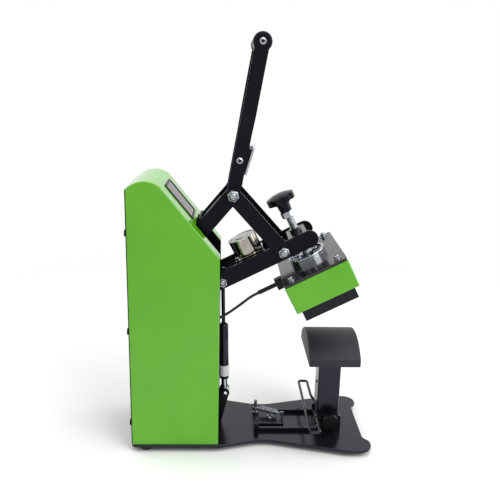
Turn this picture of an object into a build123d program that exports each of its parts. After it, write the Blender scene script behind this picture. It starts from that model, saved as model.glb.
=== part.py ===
from build123d import *
from math import atan2, cos, degrees, hypot, radians, sin, sqrt, tan

# Cap heat press with a lever handle, an opening arm and a curved platen over a curved pad.
# Millimetres. X to the right, Y to the back, Z up. The origin is on the floor, under the middle.
# It is built open. The arm, the platen and the screw are drawn level, as they stand when the
# press is closed, on planes that are then tipped back about the main pivot.

# ---- driving dimensions: base ----
foot_height = 8.0
foot_diameter = 22.0
foot_spacing_front = 130.0
foot_spacing_rear = 116.0
base_thickness = 4.0
lobe_reach = 240.0            # front lobes, in front of the case
front_edge_reach = 230.5
lobe_width = 174.0
lobe_front = 28.0             # straight front edge of a lobe, with its corners
lobe_step = 9.0               # slanted edge beside it
lobe_rear_reach = 200.0
waist_width = 113.0
waist_front_reach = 82.0
waist_rear_reach = 60.0
rear_width = 145.0
rear_front_reach = 3.0
front_foot_inset = 17.0
rear_foot_inset = 20.0
plate_edge = 1.0
foot_screw_seat = 4.5         # underside of the screw's head, above the floor
foot_screw_bite = 3.0         # depth of its blind hole in the base plate
bolt_shank = 6.0
bolt_head = 10.0
bolt_head_height = 4.0
small_head = 10.0
small_head_height = 2.2
small_socket = 4.0

# ---- case ----
case_width = 141.0
case_depth = 132.0
case_front_height = 299.0     # upright part of the front
slope_depth = 85.0
slope_rise = 104.0
rear_top_drop = 5.0
crown = 9.0                   # how far the rounded top stands over its chord
sheet = 1.5
rear_flange = 12.0
slot_width = 85.5
slot_top_share = 0.577        # top end of the slot, as a share of the slope from its top
screen_size = 64.5
screen_top_gap = 5.5          # from the top of the slope
screen_proud = 1.6
glass_size = 57.0
glass_inset = 0.8
glass_thickness = 1.5
bezel_collar = 3.0
fold_radius = 2.0
module_size = 56.0
module_depth = 11.0
module_block = (64.0, 76.0, 24.0)
inlet_x = 34.0
inlet_height = 44.0
inlet_width = 48.0
inlet_tall = 28.0
inlet_flange = 4.0
inlet_body = (27.5, 20.0)
inlet_mouth = (24.0, 16.0)
inlet_depth = 18.0
inlet_pin = 10.0
rocker_height = 84.0
rocker_width = 12.0
rocker_tall = 16.4
rocker_body = (17.0, 21.0)
rocker_flange = 2.0
rocker_depth = 18.0
rocker_well = 5.0
rocker_pin = 1.8
rocker_tilt = 7.0
cover_screw = 4.0
vent_rows = 8
vent_length = 40.0
vent_gap = 3.5
vent_pitch = 8.0
vent_height = 270.0

# ---- inner frame ----
frame_plate = 3.0
frame_gap = 77.0              # between the two side plates
frame_height = 335.0
frame_depth = 74.0
panel_thickness = 2.0
flange_width = 14.0
plate_setback = 0.4
panel_height = 300.0
lead_rise = 17.8              # where the lead enters the panel, above the main pivot
flange_back = 40.0            # middle of a plate's foot, behind the front of the case
flange_length = 60.0
hex_sides = 6
main_spacer = 20.0            # diameter of the tube between the arms
main_washer = 24.0
main_nut = 22.0
main_nut_height = 7.0
link_nut = 17.0
link_nut_height = 6.0
inner_nut = 16.0
inner_nut_height = 6.0
strut_nut = 13.0
strut_nut_height = 5.0
foot_bolt_head = 10.4          # of the strut's lower bolt

# ---- linkage ----
main_pivot_back = 42.4        # behind the front of the case
main_pivot_height = 161.2     # above the base plate
link_pivot_back = 41.5
link_pivot_height = 315.0
rear_link = 93.0
front_link = 113.3
arm_reach = 197.1
link_open_angle = 50.3        # rear link above level, open
handle_swing = 74.0
lever_open_angle = 80.2       # lever above level, open
lever_length = 215.0
lever_width = 20.0
lever_thickness = 5.0
lever_bend_start = 88.0
lever_bend_end = 118.0
lever_inner_low = 30.5        # inner face of the lever, half of the gap
lever_inner_high = 46.5
channel_width = 23.0          # rear link, across
channel_sheet = 3.0
web_start = 32.0              # along the rear link, from its pivot
web_end = 74.0
web_inset = 3.0                # of the web, below the link's rear edges
web_lip = 3.0
link_width = 23.0
link_thickness = 4.0
side_gap = 0.5                # between bars that pass each other
arm_height = 25.5
arm_thickness = 4.0
arm_leg_width = 28.0
knee_back = 8.0
fork_reach = 187.0            # centre of the rounded fork end, in front of the case
running = 0.06                # radial clearance of a pin in its hole
main_shaft = 14.0
link_shaft = 10.0
nut_size = 15.0
nut_height = 8.0
bolt_end = 2.6
washer_thickness = 1.4
washer_diameter = 14.6

# ---- grip ----
collar_diameter = 26.5
collar_length = 18.0
barrel_waist = 19.0
grip_bolt = 8.0
grip_head_diameter = 9.2
grip_head_height = 3.4

# ---- pressure screw, level ----
screw_reach = 173.0           # screw axis in front of the case
screw_diameter = 12.0
block_depth = 30.0
block_height = 20.0
block_top_step = 2.0          # below the top edge of the arms
bush_diameter = 18.0
bush_height = 6.0
knob_diameter = 44.0
knob_lobes = 8
knob_notch = 4.0
knob_notch_depth = 2.6
knob_round = 1.4
knob_rim = 9.5
knob_crown = 4.5
knob_hub_diameter = 21.0
knob_hub_length = 15.0
lock_nut_height = 10.0
lock_nut_size = 18.0
lock_nut_gap = 19.6           # over the threaded bush, closed

# ---- platen, level ----
heater_width = 150.0
heater_depth = 84.5
lobe_drop = 37.7              # heater lobes below the crown of the pad
heater_roof = 12.0            # metal over the crown of the heater's arc
press_gap = 1.0               # cap cloth between heater and pad
insulation_thickness = 8.0
platen_screw_bite = 9.0
cover_width = 165.0
cover_depth = 100.0
cover_side = 41.6
cover_front = 24.3
top_plate_width = 161.0
top_plate_depth = 99.4
top_plate_thickness = 4.5
platen_screw_x = 136.0
platen_screw_y = 73.5
platen_screw = 6.0
cup_diameter = 59.0
cup_height = 9.5
cup_wall = 4.0
cup_floor = 3.5
cup_boss = 22.0
cup_round = 1.6
cup_groove = 0.6
cup_groove_height = 3.6
cup_screw_circle = 37.0
cup_screw_count = 6
cup_screw = 5.0
cup_screw_head = 8.5
cup_screw_head_height = 4.0
cup_socket = 4.0
platen_socket = 4.0
platen_head = 8.5
platen_head_height = 5.0
platen_washer = (12.6, 1.0)   # diameter, thickness
gland_width = 17.0
gland_height = 17.0
gland_length = 12.0
gland_drop = 6.5              # its axis, below the top of the cover
lead_offset = -22.0           # X of the heater lead
lead_diameter = 4.2
sleeve_diameter = 6.6
sleeve_length = 30.0
lead_first_run = 12.0
# reach and height of the lead's turns between the sleeve and the inner panel
lead_route = [(33.0, 214.5), (6.0, 194.0), (-20.0, 182.5)]
lead_entry_run = 27.0         # straight into the inner panel

# ---- magnet and striker, level ----
magnet_diameter = 44.0
magnet_height = 28.0
magnet_wall = 3.0
magnet_core = 20.0
magnet_stand = 14.0
magnet_reach = 94.3
magnet_base_height = 224.5
magnet_plate = 2.5
magnet_flange = 2.0
magnet_ring_depth = 1.0
magnet_plate_width = 46.0
magnet_plate_length = 50.0
stud_spacing = 37.0
stud_diameter = 4.0
stud_nut = 7.0
stud_nut_height = 4.0
strike_gap = 0.5
striker_width = 52.0
striker_length = 43.0
striker_thickness = 3.0
striker_reach = 96.5
striker_screw_x = 36.0
striker_screw_y = 22.0
striker_bolt_at = 50.5        # along the lever, from the elbow
striker_head = 8.5
striker_head_height = 3.0
lever_bolt_head = 9.6
lever_bolt_height = 3.0
lever_bolt_nut = 4.0          # its height
bracket_length = 34.0
bracket_rise = 7.0            # over the lever bolt

# ---- lower pad and post ----
pad_width = 115.0
pad_depth = 79.6
pad_side = 12.0
pad_rise = 25.5
pad_base_height = 125.5       # above the base plate
pad_reach = 178.0
pad_plate_thickness = 3.0
pad_plate_inset = 8.0
post_width = 35.0
post_depth = 36.0
post_wall = 2.5
foot_block_height = 16.0
foot_block_depth = 42.0
cheek_height = 24.0
cheek_thickness = 5.0
post_hole = 6.0
post_hole_height = 73.0

# ---- gas strut ----
strut_foot_reach = 8.7
strut_foot_height = 56.0
strut_head_reach = 4.0        # open
strut_head_height = 252.8
strut_tube = 15.0
strut_bore = 8.2
strut_rod = 6.0
tube_bottom = 26.0            # along the strut from the lower bolt
tube_top = 118.0
strut_eye = 15.0
strut_eye_width = 12.0
eye_gap = 0.4
strut_bolt = 8.0
strut_stud = 10.0
rod_length = 97.0
cheek_gap = 14.0
bracket_bolt_x = 16.2
cheek_radius = 8.0
cheek_half = 7.5
cheek_lead = 2.5              # how far the cheeks stand in front of the case
cheek_run = 34.0              # along the base
cheek_rise = 6.0              # at their rear end
bracket_width = 40.0
bracket_bolt_back = 20.0

# ---- cap bail ----
bail_axis_ahead = 2.0         # of the middle of the pad
bail_axis_height = 18.0
rail_inner = 26.5
rail_thickness = 5.0
rail_bar = 5.0
rail_lift = 0.8
rail_rear_reach = 57.0
boss_radius = 11.0
cap_diameter = 26.0
cap_thickness = 5.0
wire = 4.5
ear_half = 85.0
ear_height = 30.5
ear_front_back = 24.0         # front and rear leg of an ear, behind the bail's axis
ear_rear_back = 39.0
wire_low_back = 22.5          # lowest turn of the wire, behind the bail's axis
wire_low_height = 26.5
wire_end_back = 3.0           # from the bail's axis to the middle of the wire's end
wire_end_rise = 1.5
bail_bolt = 8.0
bail_collar = 14.0
wire_bite = 4.0               # length of wire inside the rail's boss
wire_radii = [14.0, 5.0, 5.0]
rail_cross = 8.0
block_width = 9.0
corner_block_height = 8.0
pin_reach = 61.0
pin_offset = 12.0
pin_diameter = 5.0
pin_height = 31.0
pin_nut = 8.0
pin_nut_height = 5.0
hook_on_pin = 18.0
hook_radius = 3.4
spring_diameter = 9.0
spring_wire = 1.4
spring_hook_run = 9.0
spring_plate_front = 106.0
spring_plate_length = 40.0
spring_plate_width = 40.0
spring_plate_height = 7.0
spring_plate_sheet = 2.0
spring_bolt_reach = 85.0
tab_height = 15.0
tab_width = 12.0
hook_hole = 5.0
hook_hole_height = 10.5

# ---- worked out from the above ----
overall_depth = lobe_reach + case_depth + sheet + inlet_flange
case_front = lobe_reach - overall_depth / 2
deck = foot_height + base_thickness


def at(reach, height):
    """A point (y, z), given in front of the case and above the base plate."""
    return (case_front - reach, deck + height)


def apart(a, b):
    return hypot(a[0] - b[0], a[1] - b[1])


def ahead(start, length, angle):
    """The point at a length from start, at an angle above level, towards the front."""
    return (start[0] - length * cos(radians(angle)), start[1] + length * sin(radians(angle)))


def angle_of(start, end):
    """How far the line from start to end stands above level, towards the front."""
    return degrees(atan2(end[1] - start[1], start[0] - end[0]))


def meet(a, radius_a, b, radius_b):
    """Where two circles cross, on the front side of the line from a up to b."""
    span = apart(a, b)
    along = (radius_a ** 2 - radius_b ** 2 + span ** 2) / (2 * span)
    off = sqrt(radius_a ** 2 - along ** 2)
    step_y = (b[0] - a[0]) / span
    step_z = (b[1] - a[1]) / span
    return (a[0] + along * step_y - off * step_z, a[1] + along * step_z + off * step_y)


def opened(point, pivot, swing):
    """Where a point of the closed press stands once its body has swung open."""
    y = point[0] - pivot[0]
    z = point[1] - pivot[1]
    c = cos(radians(swing))
    s = sin(radians(swing))
    return (pivot[0] + y * c + z * s, pivot[1] - y * s + z * c)


def side_plane(x, pivot=(0, 0), swing=0.0):
    """Sketch plane facing +X, with the closed press's own Y and Z as its axes."""
    origin = opened((0, 0), pivot, swing)
    back = (0, cos(radians(swing)), -sin(radians(swing)))
    return Plane(origin=(x, origin[0], origin[1]), x_dir=back, z_dir=(1, 0, 0))


def front_plane(y):
    """Sketch plane facing the front, with X and Z as its axes."""
    return Plane(origin=(0, y, 0), x_dir=(1, 0, 0), z_dir=(0, -1, 0))


def level_plane(height, pivot=(0, 0), swing=0.0):
    """Sketch plane facing up, with X and the closed press's own Y as its axes."""
    origin = opened((0, height), pivot, swing)
    up = (0, sin(radians(swing)), cos(radians(swing)))
    return Plane(origin=(0, origin[0], origin[1]), x_dir=(1, 0, 0), z_dir=up)


def bar_plane(x, start, angle):
    """Sketch plane facing +X. Its x runs along a bar, its y to the front and lower side."""
    along = (0, -cos(radians(angle)), sin(radians(angle)))
    return Plane(origin=(x, start[0], start[1]), x_dir=along, z_dir=(1, 0, 0))


def save(builder, label):
    builder.part.label = label
    export_step(builder.part, "parts/" + label + ".step")


lead_panel_height = main_pivot_height + lead_rise
main_pivot = at(-main_pivot_back, main_pivot_height)
link_pivot = at(-link_pivot_back, link_pivot_height)
elbow = ahead(link_pivot, rear_link, link_open_angle)
elbow_closed = ahead(link_pivot, rear_link, link_open_angle - handle_swing)
knuckle = meet(main_pivot, arm_reach, elbow, front_link)
knuckle_closed = meet(main_pivot, arm_reach, elbow_closed, front_link)
arm_swing = angle_of(main_pivot, knuckle) - angle_of(main_pivot, knuckle_closed)
front_angle_open = angle_of(elbow, knuckle)
grip_centre = ahead(elbow, lever_length, lever_open_angle)
arm_level = knuckle_closed[1]
arm_inner = lever_inner_low + lever_thickness - arm_thickness
arm_outer = arm_inner + arm_thickness
link_inner = arm_outer + side_gap
link_outer = link_inner + link_thickness
frame_inner = frame_gap / 2
frame_outer = frame_inner + frame_plate
strut_foot = at(strut_foot_reach, strut_foot_height)
strut_head = at(strut_head_reach, strut_head_height)
strut_head_closed = opened(strut_head, main_pivot, -arm_swing)
strut_angle_open = angle_of(strut_foot, strut_head)
screw_y = case_front - screw_reach
pad_y = case_front - pad_reach
pad_bottom = deck + pad_base_height
pad_crown = pad_bottom + pad_side + pad_rise
pad_radius = ((pad_width / 2) ** 2 + pad_rise ** 2) / (2 * pad_rise)
arc_centre = pad_crown - pad_radius
arc_radius = pad_radius + press_gap
heater_bottom = pad_crown - lobe_drop
heater_top = arc_centre + arc_radius + heater_roof
insulation_top = heater_top + insulation_thickness
cover_top = insulation_top + sheet
top_plate_top = cover_top + top_plate_thickness
cup_top = top_plate_top + cup_height
gland_axis = cover_top - gland_drop
block_top = arm_level + arm_height / 2 - block_top_step
block_bottom = block_top - block_height
lock_nut_bottom = block_top + bush_height + lock_nut_gap
hub_bottom = lock_nut_bottom + lock_nut_height + side_gap
knob_bottom = hub_bottom + knob_hub_length
dome_radius = ((knob_diameter / 2) ** 2 + knob_crown ** 2) / (2 * knob_crown)
magnet_base = deck + magnet_base_height
magnet_bottom = magnet_base + magnet_stand
magnet_top = magnet_bottom + magnet_height
striker_bottom = magnet_top + strike_gap
striker_top = striker_bottom + striker_thickness
magnet_y = case_front - magnet_reach
slope_angle = degrees(atan2(slope_rise, slope_depth))
slope_foot = (case_front, deck + case_front_height)
slope_top = (case_front + slope_depth, deck + case_front_height + slope_rise)
slot_top_z = slope_top[1] - slot_top_share * slope_rise
case_rear = case_front + case_depth
rear_top = slope_top[1] - rear_top_drop
bail_axis_reach = pad_reach + bail_axis_ahead
bail_axis = at(bail_axis_reach, bail_axis_height)
bail_cap_near = rail_inner + rail_thickness + side_gap
flange_bolt_spots = [(side * (frame_inner - flange_width / 2 + 1.0), case_front + back)
                     for side in (-1, 1) for back in (20.0, 60.0)]
bracket_bolt_spots = [(side * bracket_bolt_x, case_front + bracket_bolt_back)
                      for side in (-1, 1)]
post_bolt_spots = [(0.0, pad_y - 9.0), (0.0, pad_y + 9.0)]
pin_spot = (pin_offset, case_front - pin_reach)
spring_bolt_spot = (0.0, case_front - spring_bolt_reach)
base_bolt_spots = flange_bolt_spots + bracket_bolt_spots + post_bolt_spots + [spring_bolt_spot]


def arm_side(x):
    return side_plane(x, main_pivot, arm_swing)


def arm_flat(height):
    return level_plane(height, main_pivot, arm_swing)


def arm_face(y):
    """Sketch plane facing the front of the level arm, with X and the closed press's own Z."""
    start = opened((y, 0), main_pivot, arm_swing)
    forward = (0, -cos(radians(arm_swing)), sin(radians(arm_swing)))
    return Plane(origin=(0, start[0], start[1]), x_dir=(1, 0, 0), z_dir=forward)


def striker_flat(height):
    return level_plane(height, link_pivot, handle_swing)


def fasteners(planes, shank, length, head, head_height, sides=0, socket=0.0, washer=(0, 0)):
    """Screws that point down from each plane. washer is the diameter and thickness of one."""
    with BuildPart() as group:
        for base in planes:
            with BuildSketch(base):
                Circle(shank / 2)
            extrude(amount=-length)
            plane = base.offset(washer[1])
            if washer[0]:
                with BuildSketch(base):
                    Circle(washer[0] / 2)
                extrude(amount=washer[1])
            with BuildSketch(plane):
                if sides:
                    RegularPolygon(head / 2, sides, major_radius=False)
                else:
                    Circle(head / 2)
            extrude(amount=head_height)
            if socket:
                with BuildSketch(plane.offset(head_height)):
                    RegularPolygon(socket / 2, hex_sides, major_radius=False)
                extrude(amount=-head_height / 2, mode=Mode.SUBTRACT)
    return group


def turned(centre, steps, sides=(-1, 1)):
    """Pins, bolts, nuts and washers along X: each step is from x, to x, width, number of flats."""
    with BuildPart() as group:
        for side in sides:
            for near, far, width, flats in steps:
                with BuildSketch(side_plane(side * (near + far) / 2)):
                    with Locations(centre):
                        if flats:
                            RegularPolygon(width / 2, flats, major_radius=False)
                        else:
                            Circle(width / 2)
                extrude(amount=(far - near) / 2, both=True)
    return group


def far_edges(builder, plane):
    """The edges of the builder's outermost flat face in the direction that the plane faces."""
    faces = builder.faces().filter_by(plane)
    return faces.sort_by(Axis(plane.origin, plane.z_dir))[-1].edges()


def spots(plane, points):
    """The plane moved to each (x, y) of its own."""
    return [Plane(origin=plane.from_local_coords((x, y, 0)), x_dir=plane.x_dir, z_dir=plane.z_dir)
            for x, y in points]


def corners(spacing_x, spacing_y, y=0.0):
    """Four points round (0, y)."""
    return [(i * spacing_x / 2, y + j * spacing_y / 2) for i in (-1, 1) for j in (-1, 1)]


# ======== frame: base ========

# right half of the outline, from the middle of the front edge: x, reach, corner radius
lobe_inner = lobe_width / 2 - lobe_front
front_half = [(lobe_inner - lobe_step, front_edge_reach, 14.0), (lobe_inner, lobe_reach, 14.0),
              (lobe_width / 2, lobe_reach, 19.0), (lobe_width / 2, lobe_rear_reach, 40.0),
              (waist_width / 2, waist_front_reach, 75.0), (waist_width / 2, waist_rear_reach, 65.0),
              (rear_width / 2, rear_front_reach, 50.0), (rear_width / 2, -case_depth - sheet, 6.0)]
outline = ([(x, case_front - reach) for x, reach, _ in front_half]
           + [(-x, case_front - reach) for x, reach, _ in reversed(front_half)])
outline_radii = [r for _, _, r in front_half] + [r for _, _, r in reversed(front_half)]
foot_spots = [(side * foot_spacing_front / 2, case_front - lobe_reach + front_foot_inset)
              for side in (-1, 1)]
foot_spots += [(side * foot_spacing_rear / 2, case_rear - rear_foot_inset) for side in (-1, 1)]

with BuildPart() as base_plate:
    with BuildSketch(Plane.XY.offset(foot_height)):
        with BuildLine():
            FilletPolyline(*outline, radius=outline_radii, close=True)
        make_face()
    extrude(amount=base_thickness)
    fillet(base_plate.faces().sort_by(Axis.Z)[-1].edges(), plate_edge)
    for plane in spots(Plane.XY.offset(foot_height), foot_spots):
        with BuildSketch(plane):
            Circle(bolt_shank / 2 + running)
        extrude(amount=foot_screw_bite, mode=Mode.SUBTRACT)
    for plane in spots(Plane.XY.offset(deck), base_bolt_spots):
        with BuildSketch(plane):
            Circle(bolt_shank / 2 + running)
        extrude(amount=-base_thickness, mode=Mode.SUBTRACT)
save(base_plate, "base_plate")

with BuildPart() as rubber_feet:
    for plane in spots(Plane.XY.offset(foot_height), foot_spots):
        with BuildSketch(plane):
            Circle(foot_diameter / 2)
        extrude(amount=-foot_height, taper=8)
    fillet(rubber_feet.faces().group_by(Axis.Z)[0].edges(), 1.2)
    for plane in spots(Plane.XY.offset(foot_screw_seat), foot_spots):
        with BuildSketch(plane):
            Circle(bolt_shank / 2 + running)
        extrude(amount=foot_height - foot_screw_seat, mode=Mode.SUBTRACT)
        with BuildSketch(plane):
            Circle(small_head / 2 + running)
        extrude(amount=-foot_screw_seat, mode=Mode.SUBTRACT)
save(rubber_feet, "rubber_feet")

seats = [Plane(origin=(x, y, foot_screw_seat), z_dir=(0, 0, -1)) for x, y in foot_spots]
foot_screws = fasteners(seats, bolt_shank, foot_height + foot_screw_bite - foot_screw_seat
                        - running, small_head,
                        small_head_height, socket=small_socket)
save(foot_screws, "foot_screws")

# ======== frame: case ========

slope_plane = Plane(origin=(0, slope_top[0], slope_top[1]), x_dir=(1, 0, 0),
                    z_dir=(0, -sin(radians(slope_angle)), cos(radians(slope_angle))))
screen_y = -(screen_top_gap + screen_size / 2)
window_size = screen_size - 4.0
inlet_spot = (inlet_x, deck + inlet_height)
rocker_spot = (inlet_x, deck + rocker_height)
cover_screw_spots = [(side * (case_width - rear_flange) / 2, deck + share * case_front_height)
                     for side in (-1, 1) for share in (0.12, 0.62, 1.12)]

with BuildPart() as case_shell:
    with BuildSketch(side_plane(-case_width / 2)) as case_profile:
        with BuildLine():
            Line((case_front, deck), slope_foot)
            Line(slope_foot, slope_top)
            ThreePointArc(slope_top, ((slope_top[0] + case_rear) / 2,
                                      (slope_top[1] + rear_top) / 2 + crown), (case_rear, rear_top))
            Line((case_rear, rear_top), (case_rear, deck))
            Line((case_rear, deck), (case_front, deck))
        make_face()
        fillet(case_profile.vertices().sort_by_distance((*slope_top, 0))[0], 9.0)
        fillet(case_profile.vertices().sort_by_distance((*slope_foot, 0))[0], fold_radius)
    extrude(amount=case_width)
    rims = [edge for edge in case_shell.faces().filter_by(Axis.X).edges()
            if edge.center().Y < case_rear - 1 and edge.center().Z > deck + 1]
    fillet(rims, fold_radius)
    with BuildSketch(side_plane(-case_width / 2 + sheet)):
        add(case_profile.sketch_local)
        offset(amount=-sheet, mode=Mode.REPLACE)
        with Locations(((case_front + case_rear) / 2, deck + sheet)):
            Rectangle(case_depth - 2 * sheet, 2 * sheet)
    extrude(amount=case_width - 2 * sheet, mode=Mode.SUBTRACT)
    with BuildSketch(front_plane(case_rear)):
        with Locations((0, (deck + rear_top - rear_flange) / 2)):
            Rectangle(case_width - 2 * rear_flange, rear_top - rear_flange - deck)
    extrude(amount=2 * sheet, mode=Mode.SUBTRACT)
    with BuildSketch(front_plane(case_front)):
        with Locations((0, (deck + slot_top_z) / 2)):
            Rectangle(slot_width, slot_top_z - deck)
    extrude(amount=-slope_depth / 2, mode=Mode.SUBTRACT)
    with BuildSketch(slope_plane):
        with Locations((0, screen_y)):
            Rectangle(window_size, window_size)
    extrude(amount=-2 * sheet, mode=Mode.SUBTRACT)
    for plane in spots(front_plane(case_rear), cover_screw_spots):
        with BuildSketch(plane):
            Circle(cover_screw / 2 + running)
        extrude(amount=2 * sheet, mode=Mode.SUBTRACT)
save(case_shell, "case_shell")

with BuildPart() as rear_cover:
    with BuildSketch(front_plane(case_rear)):
        with Locations((0, (deck + rear_top) / 2)):
            Rectangle(case_width - sheet, rear_top - deck - sheet)
        with Locations(inlet_spot):
            Rectangle(inlet_body[0] + 0.4, inlet_body[1] + 0.4, mode=Mode.SUBTRACT)
        with Locations(rocker_spot):
            Rectangle(rocker_body[0] + 0.4, rocker_body[1] + 0.4, mode=Mode.SUBTRACT)
        with Locations(*cover_screw_spots):
            Circle(cover_screw / 2 + running, mode=Mode.SUBTRACT)
        with Locations((0, deck + vent_height)):
            with GridLocations(vent_length + 8.0, vent_pitch, 2, vent_rows):
                SlotOverall(vent_length, vent_gap, mode=Mode.SUBTRACT)
    extrude(amount=-sheet)
save(rear_cover, "rear_cover")

cover_screws = fasteners([Plane(origin=(x, case_rear + sheet, z), z_dir=(0, 1, 0))
                          for x, z in cover_screw_spots], cover_screw, 3 * sheet,
                         small_head, small_head_height, socket=small_socket)
save(cover_screws, "rear_cover_screws")

with BuildPart() as power_inlet:
    with BuildSketch(front_plane(case_rear + sheet)):
        with Locations(inlet_spot):
            RectangleRounded(inlet_width, inlet_tall, 5.0)
    extrude(amount=-inlet_flange)
    fillet(power_inlet.faces().sort_by(Axis.Y)[-1].edges(), 0.8)
    with BuildSketch(front_plane(case_rear + sheet)):
        with Locations(inlet_spot):
            Rectangle(*inlet_body)
    extrude(amount=inlet_depth)
    with BuildSketch(front_plane(case_rear + sheet + inlet_flange)) as socket_mouth:
        with Locations(inlet_spot):
            Rectangle(*inlet_mouth)
        chamfer(socket_mouth.vertices().group_by(Axis.Y)[-1], 4.0)
    extrude(amount=inlet_flange + inlet_depth - 3.0, mode=Mode.SUBTRACT)
    with BuildSketch(front_plane(case_rear + sheet - inlet_depth + 3.0)):
        with Locations(inlet_spot):
            with Locations((-7.0, -2.0), (0, 2.0), (7.0, -2.0)):
                Rectangle(2.0, 4.0)
    extrude(amount=-inlet_pin)
save(power_inlet, "power_inlet")

rocker_axis = (case_rear + sheet + 0.3, rocker_spot[1])

with BuildPart() as rocker_housing:
    with BuildSketch(front_plane(case_rear + sheet)):
        with Locations(rocker_spot):
            RectangleRounded(rocker_body[0] + 4.0, rocker_body[1] + 4.0, 1.5)
    extrude(amount=-rocker_flange)
    with BuildSketch(front_plane(case_rear + sheet)):
        with Locations(rocker_spot):
            Rectangle(*rocker_body)
    extrude(amount=rocker_depth)
    with BuildSketch(front_plane(case_rear + sheet + rocker_flange)):
        with Locations(rocker_spot):
            Rectangle(rocker_width + 0.6, rocker_tall + 1.0)
    extrude(amount=rocker_flange + rocker_well, mode=Mode.SUBTRACT)
    with BuildSketch(side_plane(rocker_spot[0] - rocker_width / 2 - 1.2)):
        with Locations(rocker_axis):
            Circle(rocker_pin / 2 + running)
    extrude(amount=rocker_width + 2.4, mode=Mode.SUBTRACT)
save(rocker_housing, "rocker_housing")

with BuildPart() as rocker:
    with BuildSketch(Plane(origin=(rocker_spot[0] - rocker_width / 2, *rocker_axis),
                           x_dir=(0, cos(radians(rocker_tilt)), sin(radians(rocker_tilt))),
                           z_dir=(1, 0, 0))):
        with BuildLine():
            Polyline((0.6, 0), (2.0, rocker_tall / 2), (-2.6, rocker_tall / 2),
                     (-2.6, -rocker_tall / 2), (2.0, -rocker_tall / 2), close=True)
        make_face()
    extrude(amount=rocker_width)
    with BuildSketch(side_plane(rocker_spot[0] - rocker_width / 2 - 1.0)):
        with Locations(rocker_axis):
            Circle(rocker_pin / 2)
    extrude(amount=rocker_width + 2.0)
save(rocker, "rocker")

with BuildPart() as screen_bezel:
    with BuildSketch(slope_plane):
        with Locations((0, screen_y)):
            RectangleRounded(screen_size, screen_size, 3.0)
    extrude(amount=screen_proud)
    fillet(screen_bezel.edges().filter_by(GeomType.CIRCLE, reverse=True).filter_by(
        slope_plane.offset(screen_proud)), 0.7)
    with BuildSketch(slope_plane):
        with Locations((0, screen_y)):
            Rectangle(window_size - 0.2, window_size - 0.2)
    extrude(amount=-bezel_collar)
    with BuildSketch(slope_plane.offset(screen_proud)):
        with Locations((0, screen_y)):
            Rectangle(glass_size, glass_size)
    extrude(amount=-glass_inset - glass_thickness, mode=Mode.SUBTRACT)
    with BuildSketch(slope_plane.offset(screen_proud)):
        with Locations((0, screen_y)):
            Rectangle(glass_size - 4.0, glass_size - 4.0)
    extrude(amount=-screen_proud - bezel_collar, mode=Mode.SUBTRACT)
save(screen_bezel, "screen_bezel")

with BuildPart() as screen_glass:
    with BuildSketch(slope_plane.offset(screen_proud - glass_inset)):
        with Locations((0, screen_y)):
            Rectangle(glass_size, glass_size)
    extrude(amount=-glass_thickness)
save(screen_glass, "screen_glass")

with BuildPart() as control_module:
    with BuildSketch(slope_plane.offset(-bezel_collar)):
        with Locations((0, screen_y)):
            Rectangle(module_size, module_size)
    extrude(amount=-module_depth)
save(control_module, "control_module")

# ======== frame: inner plates and pivots ========

plate_front = case_front + plate_setback
plate_slope_y = plate_front + (frame_height - case_front_height) * slope_depth / slope_rise
panel_y = case_front + frame_depth

with BuildPart() as frame_plates:
    for side in (-1, 1):
        with BuildSketch(side_plane(side * (frame_inner + frame_outer) / 2)):
            with BuildLine():
                Polyline((plate_front, deck), (plate_front, slope_foot[1]),
                         (plate_slope_y, deck + frame_height), (panel_y, deck + frame_height),
                         (panel_y, deck), close=True)
            make_face()
            with Locations(main_pivot):
                Circle(main_shaft / 2 + running, mode=Mode.SUBTRACT)
            with Locations(link_pivot):
                Circle(link_shaft / 2 + running, mode=Mode.SUBTRACT)
        extrude(amount=frame_plate / 2, both=True)
        with BuildSketch(Plane.XY.offset(deck)):
            with Locations((side * (frame_inner - flange_width / 2), case_front + flange_back)):
                Rectangle(flange_width, flange_length)
        extrude(amount=frame_plate)
    for plane in spots(Plane.XY.offset(deck + frame_plate), flange_bolt_spots):
        with BuildSketch(plane):
            Circle(bolt_shank / 2 + running)
        extrude(amount=-frame_plate, mode=Mode.SUBTRACT)
save(frame_plates, "frame_plates")

with BuildPart() as inner_panel:
    with BuildSketch(front_plane(panel_y)):
        with Locations((0, deck + panel_height / 2)):
            Rectangle(frame_gap, panel_height)
        with Locations((lead_offset, deck + lead_panel_height)):
            Circle(lead_diameter / 2 + 0.3, mode=Mode.SUBTRACT)
    extrude(amount=panel_thickness)
save(inner_panel, "inner_panel")

with BuildPart() as power_module:
    with BuildSketch(front_plane(panel_y)):
        with Locations((0, deck + lead_panel_height)):
            Rectangle(module_block[0], module_block[1])
    extrude(amount=-module_block[2])
    with BuildSketch(front_plane(panel_y + module_block[2])):
        with Locations((0, deck + lead_panel_height)):
            with GridLocations(module_block[0] / 7, 1, 7, 1):
                Rectangle(4.0, module_block[1])
    extrude(amount=module_block[2] * 0.7, mode=Mode.SUBTRACT)
save(power_module, "power_module")

bracket_outer = cheek_gap / 2 + frame_plate
with BuildPart() as pivot_shafts:
    add(turned(main_pivot, [(-frame_outer, frame_outer, main_shaft, 0)], sides=(1,)).part)
    add(turned(main_pivot, [(frame_outer, frame_outer + main_nut_height, main_nut,
                             hex_sides)]).part)
    add(turned(link_pivot, [(-frame_outer, frame_outer, link_shaft, 0)], sides=(1,)).part)
    add(turned(link_pivot, [(frame_outer, frame_outer + link_nut_height, link_nut, hex_sides),
                            (lever_inner_low + side_gap, frame_inner - side_gap, inner_nut,
                             hex_sides)]).part)
    add(turned(strut_foot, [(0, bracket_outer, strut_bolt, 0),
                            (bracket_outer, bracket_outer + strut_nut_height, foot_bolt_head,
                             0)]).part)
save(pivot_shafts, "pivot_shafts")

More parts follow.
